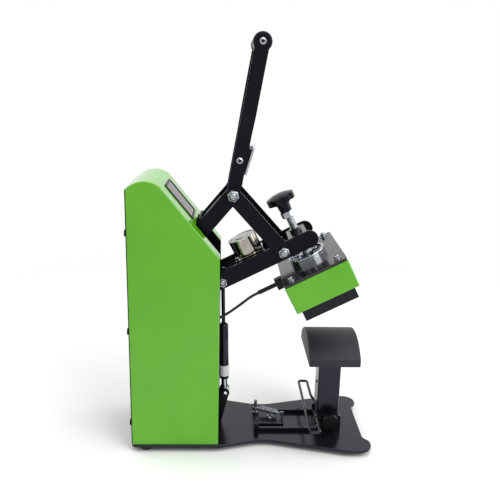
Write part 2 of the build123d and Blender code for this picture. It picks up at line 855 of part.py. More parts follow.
with BuildPart() as pivot_spacers:
    add(turned(main_pivot, [(side_gap - arm_inner, arm_inner - side_gap, main_spacer, 0)],
               sides=(1,)).part)
    add(turned(main_pivot, [(arm_outer + side_gap, frame_inner, main_washer, 0)]).part)
    with BuildSketch(side_plane(-frame_outer)):
        with Locations(main_pivot):
            Circle(main_shaft / 2)
    extrude(amount=2 * frame_outer, mode=Mode.SUBTRACT)
save(pivot_spacers, "pivot_spacers")

with BuildPart() as strut_bracket:
    for side in (-1, 1):
        with BuildSketch(side_plane(side * (cheek_gap / 2 + frame_plate / 2))):
            with BuildLine():
                Polyline((case_front - cheek_lead, deck),
                         (strut_foot[0] - cheek_half, strut_foot[1]),
                         (strut_foot[0] + cheek_half, strut_foot[1]),
                         (case_front + cheek_run, deck + cheek_rise),
                         (case_front + cheek_run, deck), close=True)
            make_face()
            with Locations(strut_foot):
                Circle(cheek_radius)
                Circle(strut_bolt / 2, mode=Mode.SUBTRACT)
        extrude(amount=frame_plate / 2, both=True)
    with BuildSketch(Plane.XY.offset(deck)):
        with Locations((0, case_front + cheek_run / 2)):
            Rectangle(bracket_width, cheek_run)
        with Locations(*bracket_bolt_spots):
            Circle(bolt_shank / 2 + running, mode=Mode.SUBTRACT)
    extrude(amount=frame_plate)
save(strut_bracket, "strut_bracket")

# ======== frame: post and lower pad ========

with BuildPart() as post_foot:
    with BuildSketch(side_plane(-post_width / 2)):
        with Locations((pad_y, deck + foot_block_height / 2)):
            Rectangle(foot_block_depth, foot_block_height)
    extrude(amount=post_width)
    for side in (-1, 1):
        with BuildSketch(side_plane(side * (post_width + cheek_thickness) / 2)) as cheek:
            with Locations((pad_y, deck + cheek_height / 2)):
                Rectangle(foot_block_depth, cheek_height)
            fillet(cheek.vertices().group_by(Axis.Y)[-1], 5.0)
            with Locations(bail_axis):
                Circle(bail_bolt / 2, mode=Mode.SUBTRACT)
        extrude(amount=cheek_thickness / 2, both=True)
    for plane in spots(Plane.XY.offset(deck + foot_block_height), post_bolt_spots):
        with BuildSketch(plane):
            Circle(bolt_shank / 2 + running)
        extrude(amount=-foot_block_height, mode=Mode.SUBTRACT)
save(post_foot, "post_foot")

with BuildPart() as post:
    with BuildSketch(Plane.XY.offset(deck + foot_block_height)):
        with Locations((0, pad_y)):
            RectangleRounded(post_width, post_depth, 3.0)
            RectangleRounded(post_width - 2 * post_wall, post_depth - 2 * post_wall, 1.0,
                             mode=Mode.SUBTRACT)
    extrude(amount=pad_base_height - pad_plate_thickness - foot_block_height)
    with BuildSketch(front_plane(pad_y)):
        with Locations((0, deck + post_hole_height)):
            Circle(post_hole / 2)
    extrude(amount=-post_depth, mode=Mode.SUBTRACT)
save(post, "post")

save(turned(bail_axis, [(post_width / 2, bail_cap_near, bail_bolt, 0),
                       (post_width / 2 + cheek_thickness, rail_inner - side_gap, bail_collar, 0),
                       (bail_cap_near, bail_cap_near + cap_thickness, cap_diameter, 0)]),
     "bail_pivot_bolts")

with BuildPart() as pad_plate:
    with BuildSketch(Plane.XY.offset(pad_bottom - pad_plate_thickness)):
        with Locations((0, pad_y)):
            RectangleRounded(pad_width - 2 * pad_plate_inset, pad_depth - 2 * pad_plate_inset, 4.0)
    extrude(amount=pad_plate_thickness)
save(pad_plate, "pad_plate")

with BuildPart() as press_pad:
    with BuildSketch(front_plane(pad_y + pad_depth / 2)):
        with BuildLine():
            Line((-pad_width / 2, pad_bottom), (-pad_width / 2, pad_bottom + pad_side))
            ThreePointArc((-pad_width / 2, pad_bottom + pad_side), (0, pad_crown),
                          (pad_width / 2, pad_bottom + pad_side))
            Line((pad_width / 2, pad_bottom + pad_side), (pad_width / 2, pad_bottom))
            Line((pad_width / 2, pad_bottom), (-pad_width / 2, pad_bottom))
        make_face()
    extrude(amount=pad_depth)
    fillet(press_pad.edges().group_by(Axis.Z)[-1], 1.5)
save(press_pad, "press_pad")

# ======== cap bail: a hinged frame that holds the brim, with its spring ========

with BuildPart() as spring_plate:
    with BuildSketch(front_plane(case_front - spring_plate_front)):
        with Locations((0, deck + spring_plate_height / 2)):
            Rectangle(spring_plate_width, spring_plate_height)
        with Locations((0, deck + spring_plate_height / 2 - spring_plate_sheet)):
            Rectangle(spring_plate_width - 2 * spring_plate_sheet, spring_plate_height,
                      mode=Mode.SUBTRACT)
    extrude(amount=-spring_plate_length)
    with BuildSketch(front_plane(case_front - spring_plate_front)) as tab:
        with Locations((0, deck + (spring_plate_height + tab_height) / 2 - 1.0)):
            Rectangle(tab_width, tab_height - spring_plate_height + 2.0)
        fillet(tab.vertices().group_by(Axis.Y)[-1], 3.0)
        with Locations((0, deck + hook_hole_height)):
            Circle(hook_hole / 2, mode=Mode.SUBTRACT)
    extrude(amount=-spring_plate_sheet)
    with BuildSketch(Plane.XY.offset(deck + spring_plate_height)):
        with Locations(spring_bolt_spot):
            Circle(bolt_shank / 2 + running)
    extrude(amount=-spring_plate_sheet, mode=Mode.SUBTRACT)
save(spring_plate, "spring_plate")

with BuildPart() as frame_bolts:
    add(fasteners(spots(Plane.XY.offset(deck + frame_plate), flange_bolt_spots
                        + bracket_bolt_spots), bolt_shank, frame_plate + base_thickness,
                  bolt_head, bolt_head_height, sides=hex_sides).part)
    add(fasteners(spots(Plane.XY.offset(deck + foot_block_height), post_bolt_spots), bolt_shank,
                  foot_block_height + base_thickness, bolt_head, bolt_head_height,
                  sides=hex_sides).part)
    add(fasteners(spots(Plane.XY.offset(deck + spring_plate_height), [spring_bolt_spot]),
                  bolt_shank, spring_plate_height + base_thickness, bolt_head, bolt_head_height,
                  sides=hex_sides).part)
save(frame_bolts, "frame_bolts")

rail_bottom = deck + rail_lift
rail_top = rail_bottom + rail_bar
wire_half = rail_inner + rail_thickness / 2
wire_end = at(bail_axis_reach - wire_end_back, bail_axis_height + wire_end_rise)
wire_low = at(bail_axis_reach - wire_low_back, wire_low_height)
wire_start = ahead(wire_end, -(boss_radius - wire_bite), -angle_of(wire_low, wire_end))
wire_points = [(wire_half, *wire_start), (wire_half, *wire_low),
               (ear_half, *at(bail_axis_reach - ear_front_back, ear_height)),
               (ear_half, *at(bail_axis_reach - ear_rear_back, ear_height))]
wire_points += [(-x, y, z) for x, y, z in reversed(wire_points)]

with BuildPart() as bail_wire:
    with BuildLine() as wire_path:
        FilletPolyline(*wire_points, radius=wire_radii + wire_radii[::-1])
    with BuildSketch(Plane(origin=wire_path.line @ 0, z_dir=wire_path.line % 0)):
        Circle(wire / 2)
    sweep(path=wire_path.line)
save(bail_wire, "bail_wire")

with BuildPart() as rail_frame:
    for side in (-1, 1):
        with BuildSketch(side_plane(side * wire_half)):
            with BuildLine():
                Polyline((bail_axis[0], rail_bottom), (case_front - rail_rear_reach, rail_bottom),
                         (case_front - rail_rear_reach, rail_top),
                         (bail_axis[0] + 2.2 * boss_radius, rail_top),
                         (bail_axis[0] + 0.7 * boss_radius, bail_axis[1] + 0.7 * boss_radius),
                         (bail_axis[0], bail_axis[1]), close=True)
            make_face()
            with Locations(bail_axis):
                Circle(boss_radius)
                Circle(bail_bolt / 2 + running, mode=Mode.SUBTRACT)
        extrude(amount=rail_thickness / 2, both=True)
        wire_run = Vector(0, wire_low[0] - wire_start[0], wire_low[1] - wire_start[1])
        with BuildSketch(Plane(origin=(side * wire_half, *wire_start), z_dir=wire_run)):
            Circle(wire / 2)
        extrude(amount=2 * boss_radius, mode=Mode.SUBTRACT)
    with BuildSketch(Plane.XY.offset(rail_bottom)):
        with Locations((0, case_front - rail_rear_reach - rail_cross / 2)):
            Rectangle(2 * (rail_inner + rail_thickness), rail_cross)
        with Locations(pin_spot):
            Circle(pin_diameter / 2, mode=Mode.SUBTRACT)
    extrude(amount=rail_bar)
    with BuildSketch(Plane.XY.offset(rail_bottom)):
        with Locations(pin_spot):
            Circle(pin_diameter / 2)
    extrude(amount=rail_bar, mode=Mode.SUBTRACT)
save(rail_frame, "rail_frame")

with BuildPart() as corner_blocks:
    for side in (-1, 1):
        with BuildSketch(Plane.XY.offset(rail_top)):
            with Locations((side * wire_half, case_front - rail_rear_reach - rail_cross / 2)):
                Rectangle(block_width, rail_cross)
        extrude(amount=corner_block_height)
    fillet(corner_blocks.faces().group_by(Axis.Z)[-1].edges(), 1.2)
save(corner_blocks, "corner_blocks")

with BuildPart() as spring_pin:
    with BuildSketch(Plane.XY.offset(rail_bottom)):
        with Locations(pin_spot):
            Circle(pin_diameter / 2)
    extrude(amount=pin_height)
    with BuildSketch(Plane.XY.offset(rail_top)):
        with Locations(pin_spot):
            RegularPolygon(pin_nut / 2, hex_sides, major_radius=False)
    extrude(amount=pin_nut_height)
save(spring_pin, "spring_pin")

pin_hook = Vector(*pin_spot, rail_bottom + hook_on_pin)
tab_hook = Vector(0, case_front - spring_plate_front + spring_plate_sheet / 2,
                  deck + hook_hole_height + hook_radius)
spring_line = (tab_hook - pin_hook).normalized()
spring_length = (tab_hook - pin_hook).length
spring_plane = Plane(origin=pin_hook, z_dir=spring_line)

with BuildPart() as bail_spring:
    with BuildSketch(spring_plane.offset(hook_radius)):
        Circle(spring_wire / 2)
    extrude(amount=spring_length - 2 * hook_radius)
    with BuildSketch(spring_plane.offset(spring_hook_run)):
        Circle(spring_diameter / 2)
    extrude(amount=spring_length - 2 * spring_hook_run)
    with BuildSketch(spring_plane.offset(spring_hook_run + spring_wire)):
        Circle(spring_diameter / 2 - spring_wire)
    extrude(amount=spring_length - 2 * spring_hook_run - 2 * spring_wire, mode=Mode.SUBTRACT)
    with BuildSketch(Plane(origin=pin_hook, x_dir=(1, 0, 0), z_dir=(0, 1, 0))):
        with Locations((hook_radius, 0)):
            Circle(spring_wire / 2)
    revolve(axis=Axis(pin_hook, (0, 0, 1)))
    with BuildSketch(Plane(origin=tab_hook, x_dir=(0, 1, 0), z_dir=(0, 0, 1))):
        with Locations((hook_radius, 0)):
            Circle(spring_wire / 2)
    revolve(axis=Axis(tab_hook, (1, 0, 0)))
save(bail_spring, "bail_spring")

# ======== handle: levers, rear link, grip and striker ========

lever_offset = (lever_thickness * (hypot(lever_bend_end - lever_bend_start,
                                         lever_inner_high - lever_inner_low)
                                   - (lever_bend_end - lever_bend_start))
                / (lever_inner_high - lever_inner_low))
lever_end = lever_length + lever_width / 2
lever_flat = Plane(origin=(0, *elbow), x_dir=(0, -cos(radians(lever_open_angle)),
                                              sin(radians(lever_open_angle))),
                   z_dir=(0, sin(radians(lever_open_angle)), cos(radians(lever_open_angle))))
lever_bolt = ahead(elbow, striker_bolt_at, lever_open_angle)

with BuildPart() as levers:
    for side in (-1, 1):
        low = side * lever_inner_low
        high = side * lever_inner_high
        thick = side * lever_thickness
        with BuildSketch(lever_flat):
            with BuildLine():
                Polyline((-lever_width / 2, low), (lever_bend_start, low), (lever_bend_end, high),
                         (lever_end, high), (lever_end, high + thick),
                         (lever_bend_end - lever_offset, high + thick),
                         (lever_bend_start - lever_offset, low + thick),
                         (-lever_width / 2, low + thick), close=True)
            make_face()
        extrude(amount=lever_width / 2, both=True)
    with BuildSketch(bar_plane(0, elbow, lever_open_angle)):
        with Locations((lever_length / 2, 0)):
            SlotCenterToCenter(lever_length, lever_width)
            for along, hole in ((-lever_length / 2, link_shaft), (lever_length / 2, grip_bolt),
                                (striker_bolt_at - lever_length / 2, bolt_shank)):
                with Locations((along, 0)):
                    Circle(hole / 2, mode=Mode.SUBTRACT)
    extrude(amount=lever_inner_high + lever_thickness, both=True, mode=Mode.INTERSECT)
save(levers, "levers")

with BuildPart() as rear_link_part:
    with BuildSketch(bar_plane(0, link_pivot, link_open_angle)):
        with Locations((rear_link / 2, 0)):
            SlotCenterToCenter(rear_link, channel_width)
    extrude(amount=lever_inner_low, both=True)
    with BuildSketch(bar_plane(0, link_pivot, link_open_angle)):
        Rectangle(2 * web_start, 2 * channel_width)
        with Locations((web_end + rear_link / 2, 0)):
            Rectangle(rear_link, 2 * channel_width)
        with Locations(((web_start + web_end) / 2, channel_sheet + web_inset)):
            Rectangle(web_end - web_start, channel_width)
        with Locations(((web_start + web_end) / 2, web_inset - channel_width)):
            Rectangle(web_end - web_start, channel_width)
    extrude(amount=lever_inner_low - channel_sheet, both=True, mode=Mode.SUBTRACT)
    with BuildSketch(bar_plane(0, link_pivot, link_open_angle)):
        with Locations((web_start + channel_sheet / 2,
                        (web_inset - web_lip - channel_width) / 2)):
            Rectangle(channel_sheet, web_lip + web_inset)
    extrude(amount=lever_inner_low, both=True)
    for centre in (link_pivot, elbow):
        with BuildSketch(side_plane(0)):
            with Locations(centre):
                Circle(link_shaft / 2 + channel_sheet)
        extrude(amount=lever_inner_low, both=True)
    for centre, hole in ((link_pivot, link_shaft / 2 + running), (elbow, link_shaft / 2)):
        with BuildSketch(side_plane(0)):
            with Locations(centre):
                Circle(hole)
        extrude(amount=lever_inner_low, both=True, mode=Mode.SUBTRACT)
save(rear_link_part, "rear_link")

nut_near = link_outer + side_gap + washer_thickness
knuckle_steps = [(link_outer + side_gap, nut_near, washer_diameter, 0),
                 (nut_near, nut_near + nut_height, nut_size, hex_sides)]
with BuildPart() as elbow_bolt:
    add(turned(elbow, [(0, nut_near + nut_height + bolt_end, link_shaft, 0)]
               + knuckle_steps).part)
save(elbow_bolt, "elbow_bolt")

grip_mid = lever_inner_high - collar_length
with BuildPart() as grip:
    with BuildSketch(Plane(origin=(0, *grip_centre), x_dir=(1, 0, 0), z_dir=(0, -1, 0))):
        with BuildLine():
            Line((-grip_mid, 0), (-grip_mid, barrel_waist / 2))
            ThreePointArc((-grip_mid, barrel_waist / 2), (0, collar_diameter / 2),
                          (grip_mid, barrel_waist / 2))
            Line((grip_mid, barrel_waist / 2), (grip_mid, 0))
            Line((grip_mid, 0), (-grip_mid, 0))
        make_face()
        for side in (-1, 1):
            with Locations((side * (lever_inner_high - collar_length / 2), collar_diameter / 4)):
                Rectangle(collar_length, collar_diameter / 2)
    revolve(axis=Axis((0, *grip_centre), (1, 0, 0)))
    fillet(grip.faces().filter_by(Axis.X).edges().filter_by(
        lambda edge: edge.radius > barrel_waist * 0.6), 1.5)
    with BuildSketch(side_plane(0)):
        with Locations(grip_centre):
            Circle(grip_bolt / 2)
    extrude(amount=lever_inner_high, both=True, mode=Mode.SUBTRACT)
save(grip, "grip")

lever_outer = lever_inner_high + lever_thickness
grip_rod = turned(grip_centre, [(0, lever_outer, grip_bolt, 0),
                                (lever_outer, lever_outer + grip_head_height,
                                 grip_head_diameter, 0)])
save(grip_rod, "grip_rod")

bracket_half = lever_inner_low
bracket_y = case_front - striker_reach
striker_spots = corners(striker_screw_x, striker_screw_y, bracket_y)
lever_bolt_closed = opened(lever_bolt, link_pivot, -handle_swing)

with BuildPart() as striker_plate:
    with BuildSketch(striker_flat(striker_bottom)):
        with Locations((0, bracket_y)):
            RectangleRounded(striker_width, striker_length, 2.0)
        with Locations(*striker_spots):
            Circle(stud_diameter / 2, mode=Mode.SUBTRACT)
    extrude(amount=striker_thickness)
save(striker_plate, "striker_plate")

with BuildPart() as striker_bracket:
    with BuildSketch(striker_flat(striker_top)):
        with Locations((0, bracket_y)):
            Rectangle(2 * bracket_half, bracket_length)
        with Locations(*striker_spots):
            Circle(stud_diameter / 2, mode=Mode.SUBTRACT)
    extrude(amount=channel_sheet)
    for side in (-1, 1):
        with BuildSketch(side_plane(side * (bracket_half - channel_sheet / 2), link_pivot,
                                    handle_swing)):
            with Locations((bracket_y, (striker_top + lever_bolt_closed[1] + bracket_rise) / 2)):
                Rectangle(bracket_length, lever_bolt_closed[1] + bracket_rise - striker_top)
            with Locations(lever_bolt_closed):
                Circle(bolt_shank / 2, mode=Mode.SUBTRACT)
        extrude(amount=channel_sheet / 2, both=True)
save(striker_bracket, "striker_bracket")

with BuildPart() as striker_bolts:
    add(fasteners(spots(striker_flat(striker_top + channel_sheet), striker_spots), stud_diameter,
                  channel_sheet + striker_thickness, striker_head, striker_head_height,
                  sides=hex_sides).part)
    lever_low_outer = lever_inner_low + lever_thickness
    add(turned(lever_bolt, [(lever_inner_low - channel_sheet, lever_low_outer, bolt_shank, 0),
                            (lever_low_outer, lever_low_outer + lever_bolt_height,
                             lever_bolt_head, 0),
                            (lever_inner_low - channel_sheet - lever_bolt_nut,
                             lever_inner_low - channel_sheet, bolt_head, hex_sides)]).part)
save(striker_bolts, "striker_bolts")

# ======== front links ========

with BuildPart() as front_links:
    for side in (-1, 1):
        with BuildSketch(bar_plane(side * (link_inner + link_outer) / 2, elbow, front_angle_open)):
            with Locations((front_link / 2, 0)):
                SlotCenterToCenter(front_link, link_width)
            Circle(link_shaft / 2 + running, mode=Mode.SUBTRACT)
            with Locations((front_link, 0)):
                Circle(link_shaft / 2, mode=Mode.SUBTRACT)
        extrude(amount=link_thickness / 2, both=True)
save(front_links, "front_links")

front_bolts = turned(knuckle, [(link_inner, nut_near + nut_height + bolt_end, link_shaft, 0),
                               (link_outer, nut_near, washer_diameter, 0),
                               (nut_near, nut_near + nut_height, nut_size, hex_sides)])
save(front_bolts, "front_bolts")

# ======== arms ========

fork_end = (case_front - fork_reach, arm_level)
knee = (case_front + knee_back, arm_level)

with BuildPart() as arms:
    for side in (-1, 1):
        with BuildSketch(arm_side(side * (arm_inner + arm_outer) / 2)):
            for start, end, width in ((fork_end, knee, arm_height),
                                      (knee, main_pivot, arm_leg_width)):
                with Locations(((start[0] + end[0]) / 2, (start[1] + end[1]) / 2)):
                    SlotCenterToCenter(apart(start, end), width, rotation=degrees(
                        atan2(end[1] - start[1], end[0] - start[0])))
            for centre, hole in ((main_pivot, main_shaft / 2 + running),
                                 (knuckle_closed, link_shaft / 2),
                                 (strut_head_closed, strut_bolt / 2)):
                with Locations(centre):
                    Circle(hole, mode=Mode.SUBTRACT)
        extrude(amount=arm_thickness / 2, both=True)
save(arms, "arms")

with BuildPart() as arm_bolts:
    add(turned(knuckle, [(arm_inner - inner_nut_height, arm_inner, inner_nut, hex_sides),
                         (arm_inner, arm_outer, link_shaft, 0)]).part)
    add(turned(strut_head, [(0, arm_outer, strut_bolt, 0),
                            (strut_eye_width / 2 + eye_gap, arm_inner - strut_nut_height,
                             strut_bolt + 4.0, 0),
                            (arm_inner - strut_nut_height, arm_inner, strut_nut, hex_sides),
                            (arm_outer, arm_outer + bolt_end, strut_nut, 0)]).part)
save(arm_bolts, "arm_bolts")

with BuildPart() as nut_block:
    with BuildSketch(arm_side(0)):
        with Locations((screw_y, (block_top + block_bottom) / 2)):
            Rectangle(block_depth, block_height)
    extrude(amount=arm_inner, both=True)
    with BuildSketch(arm_flat(block_top)):
        with Locations((0, screw_y)):
            Circle(bush_diameter / 2)
    extrude(amount=bush_height)
    with BuildSketch(arm_flat(block_bottom)):
        with Locations((0, screw_y)):
            Circle(screw_diameter / 2 + running)
    extrude(amount=block_height + bush_height, mode=Mode.SUBTRACT)
save(nut_block, "nut_block")

stud_spots = corners(stud_spacing, stud_spacing, magnet_y)

with BuildPart() as magnet_bracket:
    with BuildSketch(arm_flat(magnet_base)):
        with Locations((0, magnet_y)):
            Rectangle(2 * arm_inner, magnet_plate_length)
        with Locations(*stud_spots):
            Circle(stud_diameter / 2, mode=Mode.SUBTRACT)
    extrude(amount=-magnet_plate)
save(magnet_bracket, "magnet_bracket")

with BuildPart() as magnet:
    with BuildSketch(arm_flat(magnet_bottom)):
        with Locations((0, magnet_y)):
            Circle(magnet_diameter / 2)
    extrude(amount=magnet_height)
    with BuildSketch(arm_flat(magnet_top)):
        with Locations((0, magnet_y)):
            Circle(magnet_diameter / 2 - magnet_wall)
            Circle(magnet_core / 2, mode=Mode.SUBTRACT)
    extrude(amount=-magnet_ring_depth, mode=Mode.SUBTRACT)
    with BuildSketch(arm_flat(magnet_bottom)):
        with Locations((0, magnet_y)):
            RectangleRounded(magnet_plate_width, magnet_plate_width, 3.0)
        with Locations(*stud_spots):
            Circle(stud_diameter / 2, mode=Mode.SUBTRACT)
    extrude(amount=-magnet_flange)
save(magnet, "magnet")

with BuildPart() as magnet_studs:
    for plane in spots(arm_flat(magnet_base), stud_spots):
        with BuildSketch(plane.offset(-magnet_plate - stud_nut_height - 1.0)):
            Circle(stud_diameter / 2)
        extrude(amount=magnet_plate + magnet_stand + 2 * stud_nut_height + 2.0)
        for height in (-magnet_plate - stud_nut_height, 0.0,
                       magnet_stand - magnet_flange - stud_nut_height, magnet_stand):
            with BuildSketch(plane.offset(height)):
                RegularPolygon(stud_nut / 2, hex_sides, major_radius=False)
            extrude(amount=stud_nut_height)
save(magnet_studs, "magnet_studs")

# ======== platen ========

platen_spots = corners(platen_screw_x, platen_screw_y, screw_y)
gland_y = screw_y + cover_depth / 2

with BuildPart() as heater_block:
    with BuildSketch(arm_face(screw_y + heater_depth / 2)) as heater_profile:
        with Locations((0, (heater_bottom + heater_top) / 2)):
            Rectangle(heater_width, heater_top - heater_bottom)
        fillet(heater_profile.vertices().group_by(Axis.Y)[-1], 3.0)
        with Locations((0, arc_centre)):
            Circle(arc_radius, mode=Mode.SUBTRACT)
    extrude(amount=heater_depth)
    for plane in spots(arm_flat(heater_top), platen_spots):
        with BuildSketch(plane):
            Circle(platen_screw / 2)
        extrude(amount=-platen_screw_bite, mode=Mode.SUBTRACT)
save(heater_block, "heater_block")

with BuildPart() as insulation:
    with BuildSketch(arm_flat(heater_top)):
        with Locations((0, screw_y)):
            RectangleRounded(cover_width - 2 * sheet, cover_depth - 2 * sheet, 2.0)
        with Locations(*platen_spots):
            Circle(platen_screw / 2, mode=Mode.SUBTRACT)
    extrude(amount=insulation_thickness)
save(insulation, "insulation")

with BuildPart() as heat_cover:
    with BuildSketch(arm_flat(cover_top)):
        with Locations((0, screw_y)):
            RectangleRounded(cover_width, cover_depth, 3.0)
    extrude(amount=-cover_side)
    fillet(far_edges(heat_cover, arm_flat(cover_top)), 1.2)
    with BuildSketch(arm_flat(cover_top - sheet)):
        with Locations((0, screw_y)):
            RectangleRounded(cover_width - 2 * sheet, cover_depth - 2 * sheet, 1.5)
    extrude(amount=-cover_side, mode=Mode.SUBTRACT)
    with BuildSketch(arm_flat(cover_top - cover_front)):
        with Locations((0, screw_y)):
            Rectangle(cover_width - 2 * sheet, 2 * cover_depth)
    extrude(amount=-cover_side, mode=Mode.SUBTRACT)
    with BuildSketch(arm_flat(cover_top)):
        with Locations(*platen_spots):
            Circle(platen_screw / 2)
    extrude(amount=-sheet, mode=Mode.SUBTRACT)
save(heat_cover, "heat_cover")

cup_angles = [radians(360 / cup_screw_count * i) for i in range(cup_screw_count)]
cup_spots = [(cup_screw_circle / 2 * cos(angle), screw_y + cup_screw_circle / 2 * sin(angle))
             for angle in cup_angles]

with BuildPart() as top_plate:
    with BuildSketch(arm_flat(cover_top)):
        with Locations((0, screw_y)):
            RectangleRounded(top_plate_width, top_plate_depth, 5.0)
        with Locations(*platen_spots):
            Circle(platen_screw / 2, mode=Mode.SUBTRACT)
        with Locations(*cup_spots):
            Circle(cup_screw / 2, mode=Mode.SUBTRACT)
    extrude(amount=top_plate_thickness)
save(top_plate, "top_plate")

with BuildPart() as swivel_cup:
    with BuildSketch(arm_flat(top_plate_top)):
        with Locations((0, screw_y)):
            Circle(cup_diameter / 2)
    extrude(amount=cup_height)
    fillet(far_edges(swivel_cup, arm_flat(cup_top)), cup_round)
    with BuildSketch(arm_flat(top_plate_top + cup_groove_height)):
        with Locations((0, screw_y)):
            Circle(cup_diameter)
            Circle(cup_diameter / 2 - cup_groove, mode=Mode.SUBTRACT)
    extrude(amount=cup_groove, mode=Mode.SUBTRACT)
    with BuildSketch(arm_flat(cup_top)):
        with Locations((0, screw_y)):
            Circle(cup_diameter / 2 - cup_wall)
            Circle(cup_boss / 2, mode=Mode.SUBTRACT)
    extrude(amount=cup_floor - cup_height, mode=Mode.SUBTRACT)
    with BuildSketch(arm_flat(cup_top)):
        with Locations((0, screw_y)):
            Circle(screw_diameter / 2 + running)
    extrude(amount=cup_floor - cup_height, mode=Mode.SUBTRACT)
    with BuildSketch(arm_flat(top_plate_top)):
        with Locations(*cup_spots):
            Circle(cup_screw / 2)
    extrude(amount=cup_floor, mode=Mode.SUBTRACT)
save(swivel_cup, "swivel_cup")

save(fasteners(spots(arm_flat(top_plate_top + cup_floor), cup_spots), cup_screw,
               cup_floor + top_plate_thickness, cup_screw_head, cup_screw_head_height,
               socket=cup_socket), "cup_screws")
save(fasteners(spots(arm_flat(top_plate_top), platen_spots), platen_screw,
               top_plate_top - heater_top + platen_screw_bite, platen_head, platen_head_height,
               socket=platen_socket, washer=platen_washer), "platen_screws")

with BuildPart() as cable_gland:
    with BuildSketch(arm_face(gland_y)):
        with Locations((lead_offset, gland_axis)):
            RectangleRounded(gland_width, gland_height, 3.0)
    extrude(amount=-gland_length)
    with BuildSketch(arm_face(gland_y + gland_length)):
        with Locations((lead_offset, gland_axis)):
            Circle(sleeve_diameter / 2)
    extrude(amount=-sleeve_length)
save(cable_gland, "cable_gland")

# ======== pressure screw ========

with BuildPart() as knob:
    with BuildSketch(arm_flat(knob_bottom)) as lobes:
        with Locations((0, screw_y)):
            Circle(knob_diameter / 2)
            with PolarLocations(knob_diameter / 2 + knob_notch - knob_notch_depth, knob_lobes):
                Circle(knob_notch, mode=Mode.SUBTRACT)
        fillet(lobes.vertices(), knob_round)
    extrude(amount=knob_rim + knob_crown)
    with Locations(arm_flat(knob_bottom + knob_rim + knob_crown - dome_radius)
                   * Location((0, screw_y, 0))):
        Sphere(dome_radius, mode=Mode.INTERSECT)
    fillet(knob.faces().sort_by(Axis((0, *main_pivot), arm_flat(0).z_dir))[0].edges(), knob_round)
    with BuildSketch(arm_flat(knob_bottom)):
        with Locations((0, screw_y)):
            Circle(knob_hub_diameter / 2)
    extrude(amount=-knob_hub_length, taper=5)
    with BuildSketch(arm_flat(hub_bottom)):
        with Locations((0, screw_y)):
            Circle(screw_diameter / 2)
    extrude(amount=knob_hub_length + knob_rim - knob_crown, mode=Mode.SUBTRACT)
save(knob, "knob")

screw_bottom = top_plate_top + cup_floor + 0.2
screw_top = knob_bottom + knob_rim - knob_crown

with BuildPart() as pressure_screw:
    with BuildSketch(arm_flat(screw_bottom)):
        with Locations((0, screw_y)):
            Circle(screw_diameter / 2)
    extrude(amount=screw_top - screw_bottom)
    chamfer(pressure_screw.faces().filter_by(arm_flat(screw_bottom)).edges(), 1.0)
save(pressure_screw, "pressure_screw")

with BuildPart() as lock_nut:
    with BuildSketch(arm_flat(lock_nut_bottom)):
        with Locations((0, screw_y)):
            RegularPolygon(lock_nut_size / 2, hex_sides, major_radius=False)
            Circle(screw_diameter / 2, mode=Mode.SUBTRACT)
    extrude(amount=lock_nut_height)
save(lock_nut, "lock_nut")

# ======== gas strut ========

strut_long = apart(strut_foot, strut_head)


def strut_at(along):
    """Sketch plane across the strut, at a length from its lower bolt."""
    start = ahead(strut_foot, along, strut_angle_open)
    up = (0, -cos(radians(strut_angle_open)), sin(radians(strut_angle_open)))
    return Plane(origin=(0, *start), x_dir=(1, 0, 0), z_dir=up)


with BuildPart() as strut_tube_part:
    with BuildSketch(strut_at(0)):
        Circle(strut_stud / 2)
    extrude(amount=tube_bottom)
    with BuildSketch(strut_at(tube_bottom)):
        Circle(strut_tube / 2)
    extrude(amount=tube_top - tube_bottom)
    fillet(far_edges(strut_tube_part, strut_at(tube_top)), 1.5)
    add(turned(strut_foot, [(0, strut_eye_width / 2, strut_eye, 0)]).part)
    with BuildSketch(side_plane(0)):
        with Locations(strut_foot):
            Circle(strut_bolt / 2 + running)
    extrude(amount=strut_eye_width, both=True, mode=Mode.SUBTRACT)
    with BuildSketch(strut_at(tube_top)):
        Circle(strut_bore / 2)
    extrude(amount=tube_bottom + 6.0 - tube_top, mode=Mode.SUBTRACT)
save(strut_tube_part, "strut_tube")

with BuildPart() as strut_rod_part:
    with BuildSketch(strut_at(strut_long - rod_length)):
        Circle(strut_rod / 2)
    extrude(amount=rod_length)
    add(turned(strut_head, [(0, strut_eye_width / 2, strut_eye, 0)]).part)
    with BuildSketch(side_plane(0)):
        with Locations(strut_head):
            Circle(strut_bolt / 2 + running)
    extrude(amount=strut_eye_width, both=True, mode=Mode.SUBTRACT)
save(strut_rod_part, "strut_rod")

# ======== heater lead, from the gland's sleeve to the inner panel ========

sleeve_end = opened((gland_y + gland_length + sleeve_length, gland_axis), main_pivot, arm_swing)
lead_points = [sleeve_end, ahead(sleeve_end, -lead_first_run, arm_swing)]
lead_points += [at(reach, height) for reach, height in lead_route]
lead_points += [(panel_y - lead_entry_run, deck + lead_panel_height)]
lead_points += [(panel_y, deck + lead_panel_height)]
lead_line = [Vector(lead_offset, y, z) for y, z in lead_points]
lead_radii = []
for before, corner, after in zip(lead_line, lead_line[1:], lead_line[2:]):
    turn = (corner - before).get_angle(after - corner)
    shorter = min((corner - before).length, (after - corner).length)
    lead_radii.append(0.45 * shorter / tan(radians(turn / 2)))

with BuildPart() as heater_lead:
    with BuildLine() as lead_path:
        FilletPolyline(*lead_line, radius=lead_radii)
    with BuildSketch(Plane(origin=lead_path.line @ 0, z_dir=lead_path.line % 0)):
        Circle(lead_diameter / 2)
    sweep(path=lead_path.line)
save(heater_lead, "heater_lead")
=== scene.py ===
import math
import bmesh
import bpy
from mathutils import Matrix, Vector


